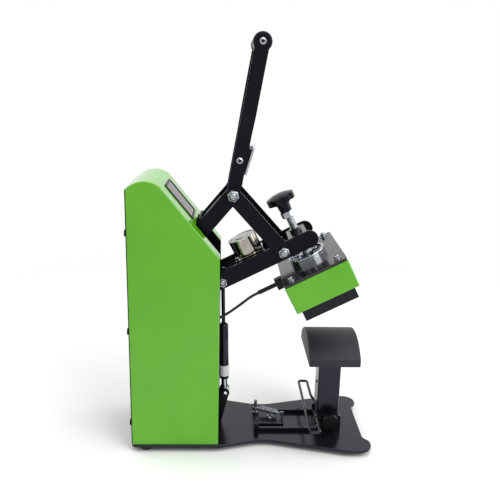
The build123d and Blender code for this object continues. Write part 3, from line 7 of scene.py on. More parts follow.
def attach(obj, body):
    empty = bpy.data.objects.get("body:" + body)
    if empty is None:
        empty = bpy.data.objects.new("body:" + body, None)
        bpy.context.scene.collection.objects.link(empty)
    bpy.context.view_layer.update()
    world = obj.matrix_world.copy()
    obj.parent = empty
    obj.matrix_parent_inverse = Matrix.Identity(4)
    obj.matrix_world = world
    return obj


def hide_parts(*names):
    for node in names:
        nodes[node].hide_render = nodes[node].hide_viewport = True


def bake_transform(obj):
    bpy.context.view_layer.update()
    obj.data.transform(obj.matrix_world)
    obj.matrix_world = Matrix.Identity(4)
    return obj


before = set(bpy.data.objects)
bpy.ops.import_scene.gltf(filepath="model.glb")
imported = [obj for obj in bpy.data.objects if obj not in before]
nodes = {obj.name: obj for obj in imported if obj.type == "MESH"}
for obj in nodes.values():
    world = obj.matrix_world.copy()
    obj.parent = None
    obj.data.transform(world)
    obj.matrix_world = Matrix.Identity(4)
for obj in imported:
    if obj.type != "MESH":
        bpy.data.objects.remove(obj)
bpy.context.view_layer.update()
mm = 0.001
mergeGap = 0.000005                  # points closer than this become one, in metres
print("frame loaded:", len(nodes), "nodes")

# where the joints' axes stand at rest, with the press open, as (y, z) in metres
mainPivot = (0.09365, 0.1732)
linkPivot = (0.09275, 0.327)
elbowPin = (0.033345, 0.398554)
knucklePin = (-0.043214, 0.315033)
strutHead = (0.04725, 0.2648)
strutFoot = (0.04255, 0.068)
gripPin = (-0.00325, 0.610417)
armTilt = math.radians(27.1026)      # the arm and the platen are tipped back this far
handleTilt = math.radians(74.0)      # and the handle this far
screwY = -121.75                     # the screw's axis in the closed press, mm


def carried(x, y, z, pin, tilt):
    # a point of the closed press, in mm, where the open arm or handle carries it, in metres
    dy, dz = y * mm - pin[0], z * mm - pin[1]
    c, s = math.cos(tilt), math.sin(tilt)
    return Vector((x * mm, pin[0] + dy * c + dz * s, pin[1] - dy * s + dz * c))


armUp = Vector((0, math.sin(armTilt), math.cos(armTilt)))
handleUp = Vector((0, math.sin(handleTilt), math.cos(handleTilt)))

# nodes and values that the materials share


def hexToLinear(code):
    # an sRGB colour code as the linear colour that a socket takes
    values = [int(code[i:i + 2], 16) / 255 for i in (1, 3, 5)]
    linear = [v / 12.92 if v <= 0.04045 else ((v + 0.055) / 1.055) ** 2.4 for v in values]
    return (*linear, 1.0)


def addNode(tree, kind, settings=None, links=None):
    # settings set sockets, by name or number, and properties; links join sockets to sources
    node = tree.nodes.new(kind)
    for key, value in (settings or {}).items():
        if isinstance(key, int) or key in node.inputs:
            node.inputs[key].default_value = value
        else:
            setattr(node, key, value)
    for key, source in (links or {}).items():
        tree.links.new(source, node.inputs[key])
    return node


def newMaterial(name, settings):
    material = bpy.data.materials.new(name)
    material.use_nodes = True
    shader = material.node_tree.nodes["Principled BSDF"]
    for key, value in settings.items():
        shader.inputs[key].default_value = value
    return material, material.node_tree, shader


def grain(tree, sizeMm, detail=3.0):
    # noise whose grains are about sizeMm across
    place = addNode(tree, "ShaderNodeTexCoord")
    noise = addNode(tree, "ShaderNodeTexNoise", {"Scale": 1000 / sizeMm, "Detail": detail},
                    {"Vector": place.outputs["Object"]})
    return noise.outputs["Fac"]


def roughen(tree, shader, source, low, high):
    node = addNode(tree, "ShaderNodeMapRange", {"To Min": low, "To Max": high}, {"Value": source})
    tree.links.new(node.outputs["Result"], shader.inputs["Roughness"])


def colourBy(tree, shader, source, dark, light, low=0.3, high=0.7):
    # from dark to light as the source goes from low to high
    ramp = addNode(tree, "ShaderNodeValToRGB", None, {"Fac": source})
    for spot, place, code in zip(ramp.color_ramp.elements, (low, high), (dark, light)):
        spot.position = place
        spot.color = hexToLinear(code)
    tree.links.new(ramp.outputs["Color"], shader.inputs["Base Color"])
    return ramp


def bump(tree, shader, height, strength, depthMm, edgeMm=0.0):
    # relief of a real depth, over edges that catch the light as if rounded by edgeMm
    node = addNode(tree, "ShaderNodeBump", {"Strength": strength, "Distance": depthMm * mm},
                   {"Height": height})
    if edgeMm:
        edge = addNode(tree, "ShaderNodeBevel", {"samples": 6, "Radius": edgeMm * mm})
        tree.links.new(edge.outputs["Normal"], node.inputs["Normal"])
    tree.links.new(node.outputs["Normal"], shader.inputs["Normal"])


def powderCoat(name, dark, light, rough, coat, shine, edgeMm=0.6, tint="#ffffff"):
    # baked polyester powder on sheet steel: even colour, faint orange peel, rounded soft edges
    material, tree, shader = newMaterial(name, {"IOR": 1.5, "Specular IOR Level": shine,
                                                "Specular Tint": hexToLinear(tint),
                                                "Coat Weight": coat, "Coat Roughness": 0.12})
    peel = grain(tree, 1.4, detail=2.0)      # the real peel is about 1 mm, too fine to show
    colourBy(tree, shader, grain(tree, 70.0, detail=2.0), dark, light)
    roughen(tree, shader, peel, rough - 0.04, rough + 0.05)
    bump(tree, shader, peel, strength=0.1, depthMm=0.03, edgeMm=edgeMm)
    return material


def mouldedPlastic(name, dark, light, rough, grainMm=0.8, edgeMm=0.5, tint="#ffffff"):
    # moulded or pressed plastic: even colour, a low gloss and a fine spark-eroded grain
    material, tree, shader = newMaterial(name, {"IOR": 1.5, "Specular IOR Level": 0.2,
                                                "Specular Tint": hexToLinear(tint)})
    texture = grain(tree, grainMm, detail=2.0)
    colourBy(tree, shader, texture, dark, light)
    roughen(tree, shader, texture, rough - 0.05, rough + 0.06)
    bump(tree, shader, texture, strength=0.12, depthMm=0.03, edgeMm=edgeMm)
    return material


def pressedRubber(name, dark, light, rough):
    # pressed rubber or fibre board: a dull skin with a little dust in it
    material, tree, shader = newMaterial(name, {"IOR": 1.45, "Sheen Weight": 0.1,
                                                "Sheen Roughness": 0.5})
    colourBy(tree, shader, grain(tree, 9.0, detail=5.0), dark, light)
    skin = grain(tree, 0.9, detail=2.0)
    roughen(tree, shader, skin, rough - 0.05, rough + 0.07)
    bump(tree, shader, skin, strength=0.2, depthMm=0.05)
    return material


def padSkin(name, dark, light, rough, threadMm):
    # silicone sponge under glass cloth: charcoal and dull, with the cloth's cross weave
    material, tree, shader = newMaterial(name, {"IOR": 1.43, "Specular IOR Level": 0.3,
                                                "Sheen Weight": 0.08, "Sheen Roughness": 0.5})
    place = addNode(tree, "ShaderNodeTexCoord")
    scale = math.pi / 10 / (threadMm * mm)   # at a scale of 1 the bands stand pi / 10 m apart
    threads = {}
    for direction in ("X", "Y", "Z"):
        wave = addNode(tree, "ShaderNodeTexWave",
                       {"wave_type": "BANDS", "bands_direction": direction, "Scale": scale,
                        "Distortion": 0.3, "Detail": 1.0},
                       {"Vector": place.outputs["Object"]})
        threads[direction] = wave.outputs["Fac"]
    # the cross threads run the other way on the two end faces
    facing = addNode(tree, "ShaderNodeSeparateXYZ", None, {"Vector": place.outputs["Normal"]})
    lengthwise = addNode(tree, "ShaderNodeMath", {"operation": "ABSOLUTE"},
                         {0: facing.outputs["Y"]})
    endFace = addNode(tree, "ShaderNodeMath", {"operation": "GREATER_THAN", 1: 0.7},
                      {0: lengthwise.outputs["Value"]})
    across = addNode(tree, "ShaderNodeMix", {"data_type": "FLOAT"},
                     {"Factor": endFace.outputs["Value"], "A": threads["Y"], "B": threads["Z"]})
    weave = addNode(tree, "ShaderNodeMath", {"operation": "MULTIPLY"},
                    {0: threads["X"], 1: across.outputs["Result"]})
    colourBy(tree, shader, grain(tree, 12.0, detail=5.0), dark, light)
    roughen(tree, shader, weave.outputs["Value"], rough - 0.04, rough + 0.08)
    bump(tree, shader, weave.outputs["Value"], strength=0.16, depthMm=0.08)
    return material


def smoothMetal(name, dark, light, rough, cloudMm=6.0):
    # plated, coated or bare metal: bright for its colour, with faint cloudy handling marks
    material, tree, shader = newMaterial(name, {"Metallic": 1.0})
    cloud = grain(tree, cloudMm)
    colourBy(tree, shader, cloud, dark, light)
    roughen(tree, shader, cloud, rough - 0.04, rough + 0.07)
    bump(tree, shader, cloud, strength=0.05, depthMm=0.04, edgeMm=0.3)
    return material


def magnetPot(name, settings):
    # turned steel pot under warm nickel plate, its working face ground dull
    material, tree, shader = newMaterial(name, {"Metallic": 1.0})
    place = addNode(tree, "ShaderNodeTexCoord")
    height = addNode(tree, "ShaderNodeVectorMath", {"operation": "DOT_PRODUCT", 1: armUp},
                     {0: place.outputs["Object"]})
    face = addNode(tree, "ShaderNodeMapRange",
                   {"From Min": settings["top"] - settings["rim"],
                    "From Max": settings["top"] - settings["rim"] + settings["fade"]},
                   {"Value": height.outputs["Value"]})
    side = colourBy(tree, shader, grain(tree, 12.0), *settings["side"])
    mix = addNode(tree, "ShaderNodeMix", {"data_type": "RGBA", "B": hexToLinear(settings["face"])},
                  {"Factor": face.outputs["Result"], "A": side.outputs["Color"]})
    tree.links.new(mix.outputs["Result"], shader.inputs["Base Color"])
    roughen(tree, shader, face.outputs["Result"], settings["sideRough"], settings["faceRough"])
    bump(tree, shader, grain(tree, 6.0), strength=0.05, depthMm=0.04, edgeMm=0.4)
    return material


def displayGlass(name, settings):
    # clear cover over a dark liquid crystal panel, a little lighter inside its printed border
    material, tree, shader = newMaterial(name, {"Roughness": 0.05, "IOR": 1.52,
                                                "Specular IOR Level": 0.3})
    place = addNode(tree, "ShaderNodeTexCoord")
    centre = addNode(tree, "ShaderNodeMapping",
                     {"vector_type": "TEXTURE", "Location": settings["centre"],
                      "Rotation": (settings["slope"], 0, 0)}, {"Vector": place.outputs["Object"]})
    away = addNode(tree, "ShaderNodeVectorMath", {"operation": "ABSOLUTE"},
                   {0: centre.outputs["Vector"]})
    parts = addNode(tree, "ShaderNodeSeparateXYZ", None, {"Vector": away.outputs["Vector"]})
    far = addNode(tree, "ShaderNodeMath", {"operation": "MAXIMUM"},
                  {0: parts.outputs["X"], 1: parts.outputs["Y"]})
    border = addNode(tree, "ShaderNodeMapRange",
                     {"From Min": settings["half"],
                      "From Max": settings["half"] + settings["fade"]},
                     {"Value": far.outputs["Value"]})
    colourBy(tree, shader, border.outputs["Result"], settings["panel"], settings["border"],
             low=0.0, high=1.0)
    return material


greenPaint = powderCoat("greenPowderCoat", "#57a808", "#5dae0e", rough=0.34, coat=0.85,
                        shine=0.15, edgeMm=1.0)
blackPaint = powderCoat("blackPowderCoat", "#08080d", "#0b0b12", rough=0.3, coat=0.0, shine=0.12)
barPaint = powderCoat("blackBarCoat", "#08080c", "#0b0b10", rough=0.26, coat=0.0, shine=0.14,
                      edgeMm=1.1, tint="#e0e0ff")
basePaint = powderCoat("blackGlossCoat", "#101014", "#15151a", rough=0.2, coat=0.0, shine=0.42,
                       tint="#e0e0ff")
platePaint = powderCoat("blackTopCoat", "#0b0b12", "#101018", rough=0.16, coat=0.3, shine=0.4)
blackNylon = mouldedPlastic("blackNylon", "#09090c", "#0e0e12", rough=0.36)
knobPlastic = mouldedPlastic("blackPhenolic", "#050508", "#08080c", rough=0.2, grainMm=1.5,
                             edgeMm=0.8, tint="#dcdcff")
nylonRing = mouldedPlastic("nylonRing", "#4a4d52", "#585b60", rough=0.4)
gripRubber = mouldedPlastic("blackGripRubber", "#0e0f12", "#15161a", rough=0.33, grainMm=1.2,
                            edgeMm=1.0)
circuitBoard = mouldedPlastic("circuitBoard", "#183d25", "#1f4a2c", rough=0.45)
paleLabel = mouldedPlastic("paleLabel", "#d6d6d8", "#e0e0e2", rough=0.4)
footRubber = pressedRubber("blackFootRubber", "#111113", "#18181b", rough=0.6)
sleeveRubber = pressedRubber("blackSleeve", "#101012", "#1a1a1d", rough=0.5)
mineralBoard = pressedRubber("mineralBoard", "#c9c4b6", "#d9d6cc", rough=0.9)
# the pad's threads are 1 mm apart in life, too fine to show
padCloth = padSkin("charcoalSilicone", "#26262c", "#2c2c32", rough=0.55, threadMm=3.0)
zincPlate = smoothMetal("zincPlatedSteel", "#8b8f94", "#a3a7ac", rough=0.2, cloudMm=4.0)
brightSteel = smoothMetal("turnedSteel", "#a5aaaf", "#b4b9be", rough=0.12)
blackOxide = smoothMetal("blackOxideSteel", "#1c1c1f", "#26262a", rough=0.4)
nitridedRod = smoothMetal("blackNitridedRod", "#2b2c31", "#34353b", rough=0.16)
# painted shade, with a little dirt, for the faces inside the hex sockets: a darker metal where the
# recess is in shade
socketShade = smoothMetal("oiledSocket", "#232427", "#303135", rough=0.45)
heaterCoat = smoothMetal("coatedAluminium", "#26262b", "#2d2d32", rough=0.42)
castAluminium = smoothMetal("castAluminium", "#8f9194", "#a9abae", rough=0.4)
nickelPlate = magnetPot("nickelPlatedPot", {
    "side": ("#9c948b", "#b3aca3"), "face": "#c9c9c8", "sideRough": 0.1, "faceRough": 0.5,
    "top": max(vert.co.dot(armUp) for vert in nodes["magnet"].data.vertices),
    "rim": 0.0014, "fade": 0.0003})
screenGlass = displayGlass("displayGlass", {
    "centre": (0, 0.0757, 0.4476), "slope": math.radians(50.74), "half": 0.0225,
    "fade": 0.0006, "panel": "#15141c", "border": "#060608"})
print("materials made")

# the finish of every CAD node, also of those that a new piece replaces
finishes = {
    greenPaint: ["case_shell", "heat_cover"],
    basePaint: ["base_plate", "post_foot", "spring_plate", "rail_frame", "bail_wire", "post"],
    platePaint: ["top_plate", "nut_block"],
    barPaint: ["levers", "rear_link", "front_links", "arms"],
    blackPaint: ["rear_cover", "frame_plates", "strut_bracket", "pad_plate", "striker_bracket",
                 "magnet_bracket", "pivot_spacers"],
    blackNylon: ["power_inlet", "rocker_housing", "rocker", "screen_bezel", "bail_pivot_bolts",
                 "cable_gland", "corner_blocks"],
    knobPlastic: ["knob"],
    gripRubber: ["grip"],
    sleeveRubber: ["heater_lead"],
    padCloth: ["press_pad"],
    footRubber: ["rubber_feet"],
    blackOxide: ["foot_screws", "rear_cover_screws"],
    zincPlate: ["frame_bolts", "pivot_shafts", "elbow_bolt", "grip_rod", "striker_bolts",
                "front_bolts", "arm_bolts", "magnet_studs", "cup_screws", "platen_screws",
                "lock_nut", "spring_pin", "bail_spring", "inner_panel"],
    brightSteel: ["striker_plate", "swivel_cup", "pressure_screw"],
    nitridedRod: ["strut_rod"],
    nickelPlate: ["magnet"],
    heaterCoat: ["heater_block"],
    castAluminium: ["power_module"],
    circuitBoard: ["control_module"],
    mineralBoard: ["insulation"],
    screenGlass: ["screen_glass"],
}
for material, names in finishes.items():
    for name in names:
        mesh = nodes[name].data
        mesh.materials.clear()
        mesh.materials.append(material)
print("finishes on", sum(len(names) for names in finishes.values()), "nodes")

# what the new pieces are made with


def addPiece(name, bm, material, body=None, replaced=(), smooth=35, second=None):
    # a finished shape as an object: welded, faces outwards, edges over the smooth angle sharp
    bmesh.ops.remove_doubles(bm, verts=bm.verts, dist=mergeGap)
    bmesh.ops.recalc_face_normals(bm, faces=bm.faces)
    mesh = bpy.data.meshes.new(name)
    bm.to_mesh(mesh)
    bm.free()
    mesh.materials.append(material)
    if second:
        mesh.materials.append(second)
    mesh.shade_smooth()
    mesh.set_sharp_from_angle(angle=math.radians(smooth))
    piece = bpy.data.objects.new(name, mesh)
    bpy.context.scene.collection.objects.link(piece)
    if body:
        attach(piece, body)
    if replaced:
        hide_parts(*replaced)
    return piece


def joinInto(bm, part):
    # a part made on its own, added to the piece it belongs to
    mesh = bpy.data.meshes.new("part")
    part.to_mesh(mesh)
    part.free()
    bm.from_mesh(mesh)
    bpy.data.meshes.remove(mesh)


def onX(pin, side):
    # a pin's centre in the middle plane, and the way out to one side
    return Vector((0, *pin)), Vector((side, 0, 0))


def turn(bm, centre, axis, profile, steps=40):
    # a profile of (mm along the axis, mm from it), spun round the axis
    axis, centre = Vector(axis).normalized(), Vector(centre)
    out = axis.orthogonal().normalized()
    corners = [bm.verts.new(centre + axis * a * mm + out * r * mm) for a, r in profile]
    runs = [bm.edges.new(pair) for pair in zip(corners, corners[1:])]
    bmesh.ops.spin(bm, geom=corners + runs, cent=centre, axis=axis, angle=2 * math.pi,
                   steps=steps, use_merge=True)


def addPin(bm, centre, axis, start, end, diameter, steps=40):
    # a plain round pin between two distances along the axis
    turn(bm, centre, axis, [(start, 0), (start, diameter / 2), (end, diameter / 2), (end, 0)],
         steps)


def addHex(bm, centre, axis, start, end, flats, bore=0.0, chamfer=0.9):
    # a hex nut or head between two distances along the axis, its corners turned down
    axis, centre = Vector(axis).normalized(), Vector(centre)
    corner = flats / math.sqrt(3)
    face = corner - chamfer * 1.6    # radius of the flat end inside the chamfer
    part = bmesh.new()
    turn(part, centre, axis, [(start, bore / 2), (start, face), (start + chamfer, corner),
                              (end - chamfer, corner), (end, face), (end, bore / 2),
                              (start, bore / 2)], 48)
    bmesh.ops.remove_doubles(part, verts=part.verts, dist=mergeGap)
    out = axis.orthogonal().normalized()
    for i in range(6):
        away = Matrix.Rotation(i * math.pi / 3, 3, axis) @ out
        bmesh.ops.bisect_plane(part, geom=part.verts[:] + part.edges[:] + part.faces[:],
                               plane_co=centre + away * flats / 2 * mm, plane_no=away,
                               clear_outer=True)
        rims = [edge for edge in part.edges if edge.is_boundary]
        bmesh.ops.holes_fill(part, edges=rims, sides=0)
    joinInto(bm, part)


# a lock nut's levels and collar as shares of its height and flats, the rest in mm
nutShape = {"body": 0.7, "collarTop": 0.9, "collar": 0.44, "lean": 0.8, "gap": 0.5,
            "chamfer": 1.1}
boltEnd = {"straight": 1.3, "tip": 2.2, "taper": 1.2, "dish": 1.8, "dishFloor": 1.6}


def lockNut(bm, centre, axis, start, flats, height, shank):
    # a nut with a rolled collar over its nylon ring, and the chamfered end of its bolt
    n, e = nutShape, boltEnd
    body, top = start + height * n["body"], start + height
    collar, ring = flats * n["collar"], shank / 2 + n["gap"]
    addHex(bm, centre, axis, start, body, flats, shank, n["chamfer"])
    turn(bm, centre, axis, [(body, ring), (body, collar), (start + height * n["collarTop"], collar),
                            (top, collar - n["lean"]), (top, ring + n["gap"]),
                            (top - n["gap"], ring), (body, ring)])
    turn(bm, centre, axis, [(start, 0), (start, shank / 2), (top + e["straight"], shank / 2),
                            (top + e["tip"], shank / 2 - e["taper"]), (top + e["tip"], e["dish"]),
                            (top + e["dishFloor"], 0)])


def growRing(bm, edges, radius, drop):
    # the next ring of a round shape: the edges drawn down, and out to a radius if one is given
    grown = bmesh.ops.extrude_edge_only(bm, edges=edges)["geom"]
    verts = [item for item in grown if isinstance(item, bmesh.types.BMVert)]
    if radius:
        for vert in verts:
            share = radius * mm / math.hypot(vert.co.x, vert.co.y)
            vert.co.x *= share
            vert.co.y *= share
    bmesh.ops.translate(bm, verts=verts, vec=(0, 0, -drop * mm))
    return [item for item in grown if isinstance(item, bmesh.types.BMEdge) and item.is_boundary]


def socketHead(bm, centre, axis, shape, start=0.0):
    # a round head with a hexagon socket, grown outwards and down from the socket's mouth
    s = shape
    rounding = 0.5                   # of the head's upper edge, mm
    mouthRadius = s["socket"] / math.sqrt(3) * mm
    part = bmesh.new()
    bmesh.ops.create_circle(part, cap_ends=False, segments=6, radius=mouthRadius)
    bmesh.ops.subdivide_edges(part, edges=part.edges[:], cuts=5)
    mouth = part.edges[:]
    rim = growRing(part, mouth, s["head"] / 2 - rounding, s["crown"])
    shoulder = growRing(part, rim, s["head"] / 2, rounding)
    growRing(part, shoulder, s["head"] / 2, s["height"] - s["crown"] - rounding)
    growRing(part, mouth, None, s["depth"])
    bmesh.ops.holes_fill(part, edges=[edge for edge in part.edges if edge.is_boundary], sides=0)
    for face in part.faces:          # painted shade with a little dirt inside the socket is the second finish
        reach = max(math.hypot(vert.co.x, vert.co.y) for vert in face.verts)
        if reach < mouthRadius + mergeGap:
            face.material_index = 1
    axis = Vector(axis).normalized()
    turned = axis.to_track_quat("Z", "Y").to_matrix().to_4x4()
    place = Matrix.Translation(Vector(centre) + axis * (start + s["height"]) * mm) @ turned
    bmesh.ops.transform(part, matrix=place, verts=part.verts[:])
    joinInto(bm, part)


# bolts of the elbow and the knuckle, with their washers, nuts and nylon rings
linkBolts = {"shank": 10.0, "flats": 15.0, "nutStart": 41.9, "nutHeight": 7.6,
             "washer": 14.6, "washerStart": 40.5,
             "ringWidth": 0.6, "ringDepth": 1.5, "ringDrop": 0.7}


def addLinkBolt(name, pin, body, node, inner):
    s = linkBolts
    shank = s["shank"] / 2
    ring = shank + s["ringWidth"]
    level = s["nutStart"] + s["nutHeight"] - s["ringDrop"]
    bm, rings = bmesh.new(), bmesh.new()
    for side in (-1, 1):
        centre, axis = onX(pin, side)
        addPin(bm, centre, axis, inner, s["nutStart"], s["shank"])
        turn(bm, centre, axis, [(s["washerStart"], shank), (s["washerStart"], s["washer"] / 2),
                                (s["nutStart"], s["washer"] / 2), (s["nutStart"], shank)])
        lockNut(bm, centre, axis, s["nutStart"], s["flats"], s["nutHeight"], s["shank"])
        turn(rings, centre, axis, [(level - s["ringDepth"], shank), (level - s["ringDepth"], ring),
                                   (level, ring), (level, shank),
                                   (level - s["ringDepth"], shank)])
    addPiece(name + "Rings", rings, nylonRing, body)
    addPiece(name, bm, zincPlate, body, [node])


addLinkBolt("elbowPin", elbowPin, "handle", "elbow_bolt", 0.0)
addLinkBolt("knucklePins", knucklePin, "front_link", "front_bolts", 36.0)

# the arm's own bolts: the knuckle's inner nuts and the strut's upper bolt
armBolts = {"armInner": 31.5, "armOuter": 35.5, "knuckleShank": 10.0, "knuckleNut": 16.0,
            "knuckleNutHeight": 6.0, "strutShank": 8.0, "strutNut": 13.0, "strutNutHeight": 5.0,
            "spacer": 12.0, "spacerStart": 6.5, "thinNut": 12.4, "thinNutHeight": 2.3,
            "thinBore": 9.8, "thinChamfer": 0.6, "tipStart": 0.1, "tipEdge": 0.3, "tip": 0.4,
            "tipTaper": 1.0}


def makeArmBolts(settings):
    s = settings
    shank, outer = s["strutShank"] / 2, s["armOuter"]
    nutStart = s["armInner"] - s["strutNutHeight"]
    nutEnd = outer + s["thinNutHeight"]
    bm = bmesh.new()
    for side in (-1, 1):
        centre, axis = onX(knucklePin, side)
        addPin(bm, centre, axis, s["armInner"], outer, s["knuckleShank"])
        addHex(bm, centre, axis, s["armInner"] - s["knuckleNutHeight"], s["armInner"],
               s["knuckleNut"])
        centre, axis = onX(strutHead, side)
        addPin(bm, centre, axis, 0, outer, s["strutShank"])
        turn(bm, centre, axis, [(s["spacerStart"], shank), (s["spacerStart"], s["spacer"] / 2),
                                (nutStart, s["spacer"] / 2), (nutStart, shank)])
        addHex(bm, centre, axis, nutStart, s["armInner"], s["strutNut"], s["strutShank"])
        addHex(bm, centre, axis, outer, nutEnd, s["thinNut"], s["thinBore"], s["thinChamfer"])
        turn(bm, centre, axis, [(outer, 0), (outer, shank),
                                (nutEnd - s["tipStart"], shank - s["tipEdge"]),
                                (nutEnd + s["tip"], shank - s["tipTaper"]),
                                (nutEnd + s["tip"], 0)])
    addPiece("armPinsAndNuts", bm, zincPlate, "arm", ["arm_bolts"])


makeArmBolts(armBolts)

# the rod through the grip, with its button heads
gripEnds = {"shank": 8.0, "outer": 51.5, "head": 9.2, "height": 3.4, "socket": 4.5, "depth": 2.2,
            "crown": 1.0}


def makeGripRod(settings):
    bm = bmesh.new()
    for side in (-1, 1):
        centre, axis = onX(gripPin, side)
        addPin(bm, centre, axis, 0, settings["outer"], settings["shank"])
        socketHead(bm, centre, axis, settings, settings["outer"])
    addPiece("gripRodAndHeads", bm, zincPlate, "handle", ["grip_rod"], second=socketShade)


makeGripRod(gripEnds)

# the striker's four screws, and the lever bolts that hold its bracket
strikerScrews = {"centreY": -45.25, "x": 18.0, "y": 11.0, "seat": 285.0, "end": 279.2,
                 "shank": 4.0, "flats": 8.5, "height": 3.0, "chamfer": 0.6}
leverBolts = {"along": 50.5, "lean": math.radians(80.2), "inner": 27.5, "outer": 35.5,
              "shank": 6.0, "head": 9.6, "height": 3.0, "socket": 4.6, "depth": 2.0,
              "crown": 0.9, "nut": 10.0, "nutHeight": 4.0, "chamfer": 0.7}


def makeStrikerBolts(screws, bolts):
    bm = bmesh.new()
    s = screws
    for x in (-1, 1):
        for y in (-1, 1):
            spot = carried(x * s["x"], s["centreY"] + y * s["y"], s["seat"], linkPivot, handleTilt)
            addPin(bm, spot, handleUp, s["end"] - s["seat"], 0, s["shank"], 20)
            addHex(bm, spot, handleUp, 0, s["height"], s["flats"], 0.0, s["chamfer"])
    s = bolts
    pin = (elbowPin[0] - s["along"] * mm * math.cos(s["lean"]),
           elbowPin[1] + s["along"] * mm * math.sin(s["lean"]))
    for side in (-1, 1):
        centre, axis = onX(pin, side)
        addPin(bm, centre, axis, s["inner"], s["outer"], s["shank"], 24)
        addHex(bm, centre, axis, s["inner"] - s["nutHeight"], s["inner"], s["nut"], 0.0,
               s["chamfer"])
        socketHead(bm, centre, axis, s, s["outer"])
    addPiece("strikerScrewsAndBolts", bm, zincPlate, "handle", ["striker_bolts"],
             second=socketShade)


makeStrikerBolts(strikerScrews, leverBolts)

# bolts that rise through the base: (x, y, seat) of each, and the spring plate's button head
frameBolts = {"hexes": [(-32.5, 71.25, 15.0), (-32.5, 111.25, 15.0), (32.5, 71.25, 15.0),
                        (32.5, 111.25, 15.0), (-16.2, 71.25, 15.0), (16.2, 71.25, 15.0),
                        (0.0, -135.75, 28.0), (0.0, -117.75, 28.0)],
              "button": (0.0, -33.75, 19.0), "floor": 8.0, "shank": 6.0, "flats": 10.0,
              "hexHeight": 4.0, "chamfer": 0.7, "head": 10.5, "height": 3.3, "socket": 4.0,
              "depth": 2.0, "crown": 1.1}


def makeFrameBolts(settings):
    s = settings
    up = (0, 0, 1)
    bm = bmesh.new()
    for x, y, z in s["hexes"] + [s["button"]]:
        addPin(bm, Vector((x, y, 0)) * mm, up, s["floor"], z, s["shank"], 24)
    for spot in s["hexes"]:
        addHex(bm, Vector(spot) * mm, up, 0, s["hexHeight"], s["flats"], 0.0, s["chamfer"])
    socketHead(bm, Vector(s["button"]) * mm, up, s)
    addPiece("baseBolts", bm, zincPlate, "frame", ["frame_bolts"], second=socketShade)


makeFrameBolts(frameBolts)

# the pressure screw, a coarse 12 mm thread, and its lock nut
pressScrew = {"root": 5.1, "crest": 6.0, "pitch": 1.75, "crestFlat": 0.15, "flankRun": 0.65,
              "bottom": 205.7, "top": 304.0, "stepsPerTurn": 20, "seamGap": 0.00002,
              "nutFlats": 18.0, "nutBottom": 273.5, "nutTop": 283.5, "nutChamfer": 1.2}


def onScrew(height):
    return carried(0, screwY, height, mainPivot, armTilt)


def makeScrew(settings):
    s = settings
    start = onScrew(s["bottom"] - s["pitch"])
    outward = Vector((1, 0, 0))
    flat, run = s["crestFlat"], s["flankRun"]
    profile = [(0.0, s["root"]), (flat, s["root"]), (flat + run, s["crest"]),
               (2 * flat + run, s["crest"]), (2 * flat + 2 * run, s["root"]),
               (s["pitch"], s["root"])]
    turns = int((s["top"] - s["bottom"]) / s["pitch"]) + 2
    bm = bmesh.new()
    points = [bm.verts.new(start + armUp * a * mm + outward * r * mm) for a, r in profile]
    runs = [bm.edges.new(pair) for pair in zip(points, points[1:])]
    bmesh.ops.spin(bm, geom=points + runs, cent=start, axis=armUp, angle=2 * math.pi * turns,
                   steps=s["stepsPerTurn"] * turns,
                   dvec=armUp * s["pitch"] * mm / s["stepsPerTurn"])
    bmesh.ops.remove_doubles(bm, verts=bm.verts, dist=s["seamGap"])
    for height, way in ((s["bottom"], -1), (s["top"], 1)):
        bmesh.ops.bisect_plane(bm, geom=bm.verts[:] + bm.edges[:] + bm.faces[:],
                               plane_co=onScrew(height), plane_no=armUp * way, clear_outer=True)
    bmesh.ops.holes_fill(bm, edges=[edge for edge in bm.edges if edge.is_boundary], sides=0)
    addPiece("threadedScrew", bm, brightSteel, "screw", ["pressure_screw"], 30)
    bm = bmesh.new()
    addHex(bm, onScrew(0), armUp, s["nutBottom"], s["nutTop"], s["nutFlats"], 2 * s["crest"],
           s["nutChamfer"])
    addPiece("screwLockNut", bm, zincPlate, "screw", ["lock_nut"])


makeScrew(pressScrew)

# socket screws of the cup, and with washers those of the platen's top plate
cupScrews = {"count": 6, "circle": 37.0, "seat": 205.5, "head": 8.5, "height": 4.0,
             "socket": 4.0, "depth": 2.4, "crown": 0.0}
plateScrews = {"x": 136.0, "y": 73.5, "seat": 202.0, "head": 8.5, "height": 5.0, "socket": 4.0,
               "depth": 2.8, "crown": 0.0, "washer": 12.6, "washerHeight": 1.0}


def makeCupScrews(settings):
    s = settings
    bm = bmesh.new()
    for i in range(s["count"]):
        angle = math.radians(360 / s["count"] * i)
        spot = carried(s["circle"] / 2 * math.cos(angle),
                       screwY + s["circle"] / 2 * math.sin(angle), s["seat"], mainPivot, armTilt)
        socketHead(bm, spot, armUp, s)
    addPiece("cupSocketScrews", bm, zincPlate, "platen", ["cup_screws"], second=socketShade)


def makePlateScrews(settings):
    s = settings
    bm = bmesh.new()
    for x in (-1, 1):
        for y in (-1, 1):
            spot = carried(x * s["x"] / 2, screwY + y * s["y"] / 2, s["seat"], mainPivot, armTilt)
            addPin(bm, spot, armUp, 0, s["washerHeight"], s["washer"])
            socketHead(bm, spot, armUp, s, s["washerHeight"])
    addPiece("plateSocketScrews", bm, zincPlate, "platen", ["platen_screws"], second=socketShade)


makeCupScrews(cupScrews)
makePlateScrews(plateScrews)
print("bolts, nuts and screws made")

# the gas strut: its tube with a rolled lip, the band on it, the stud and eye at its foot
strutTube = {"tube": 15.0, "bottom": 22.5, "top": 118.0, "bore": 3.6, "boreDepth": 6.0,
             "bottomRound": 1.6, "bottomStep": 0.5, "lip": 5.2, "lipStep": 0.5, "roll": 0.9,
             "rollStart": 2.6, "band": 0.45, "bandLow": 28.4, "bandHigh": 46.4,
             "stud": 10.0, "studStart": 6.6, "eye": 15.0, "eyeHalf": 6.0, "eyeEdge": 0.6,
             "pin": 8.2}
strutCaps = {"start": 10.0, "head": 10.8, "height": 7.6, "socket": 5.0, "depth": 2.0,
             "crown": 1.6}


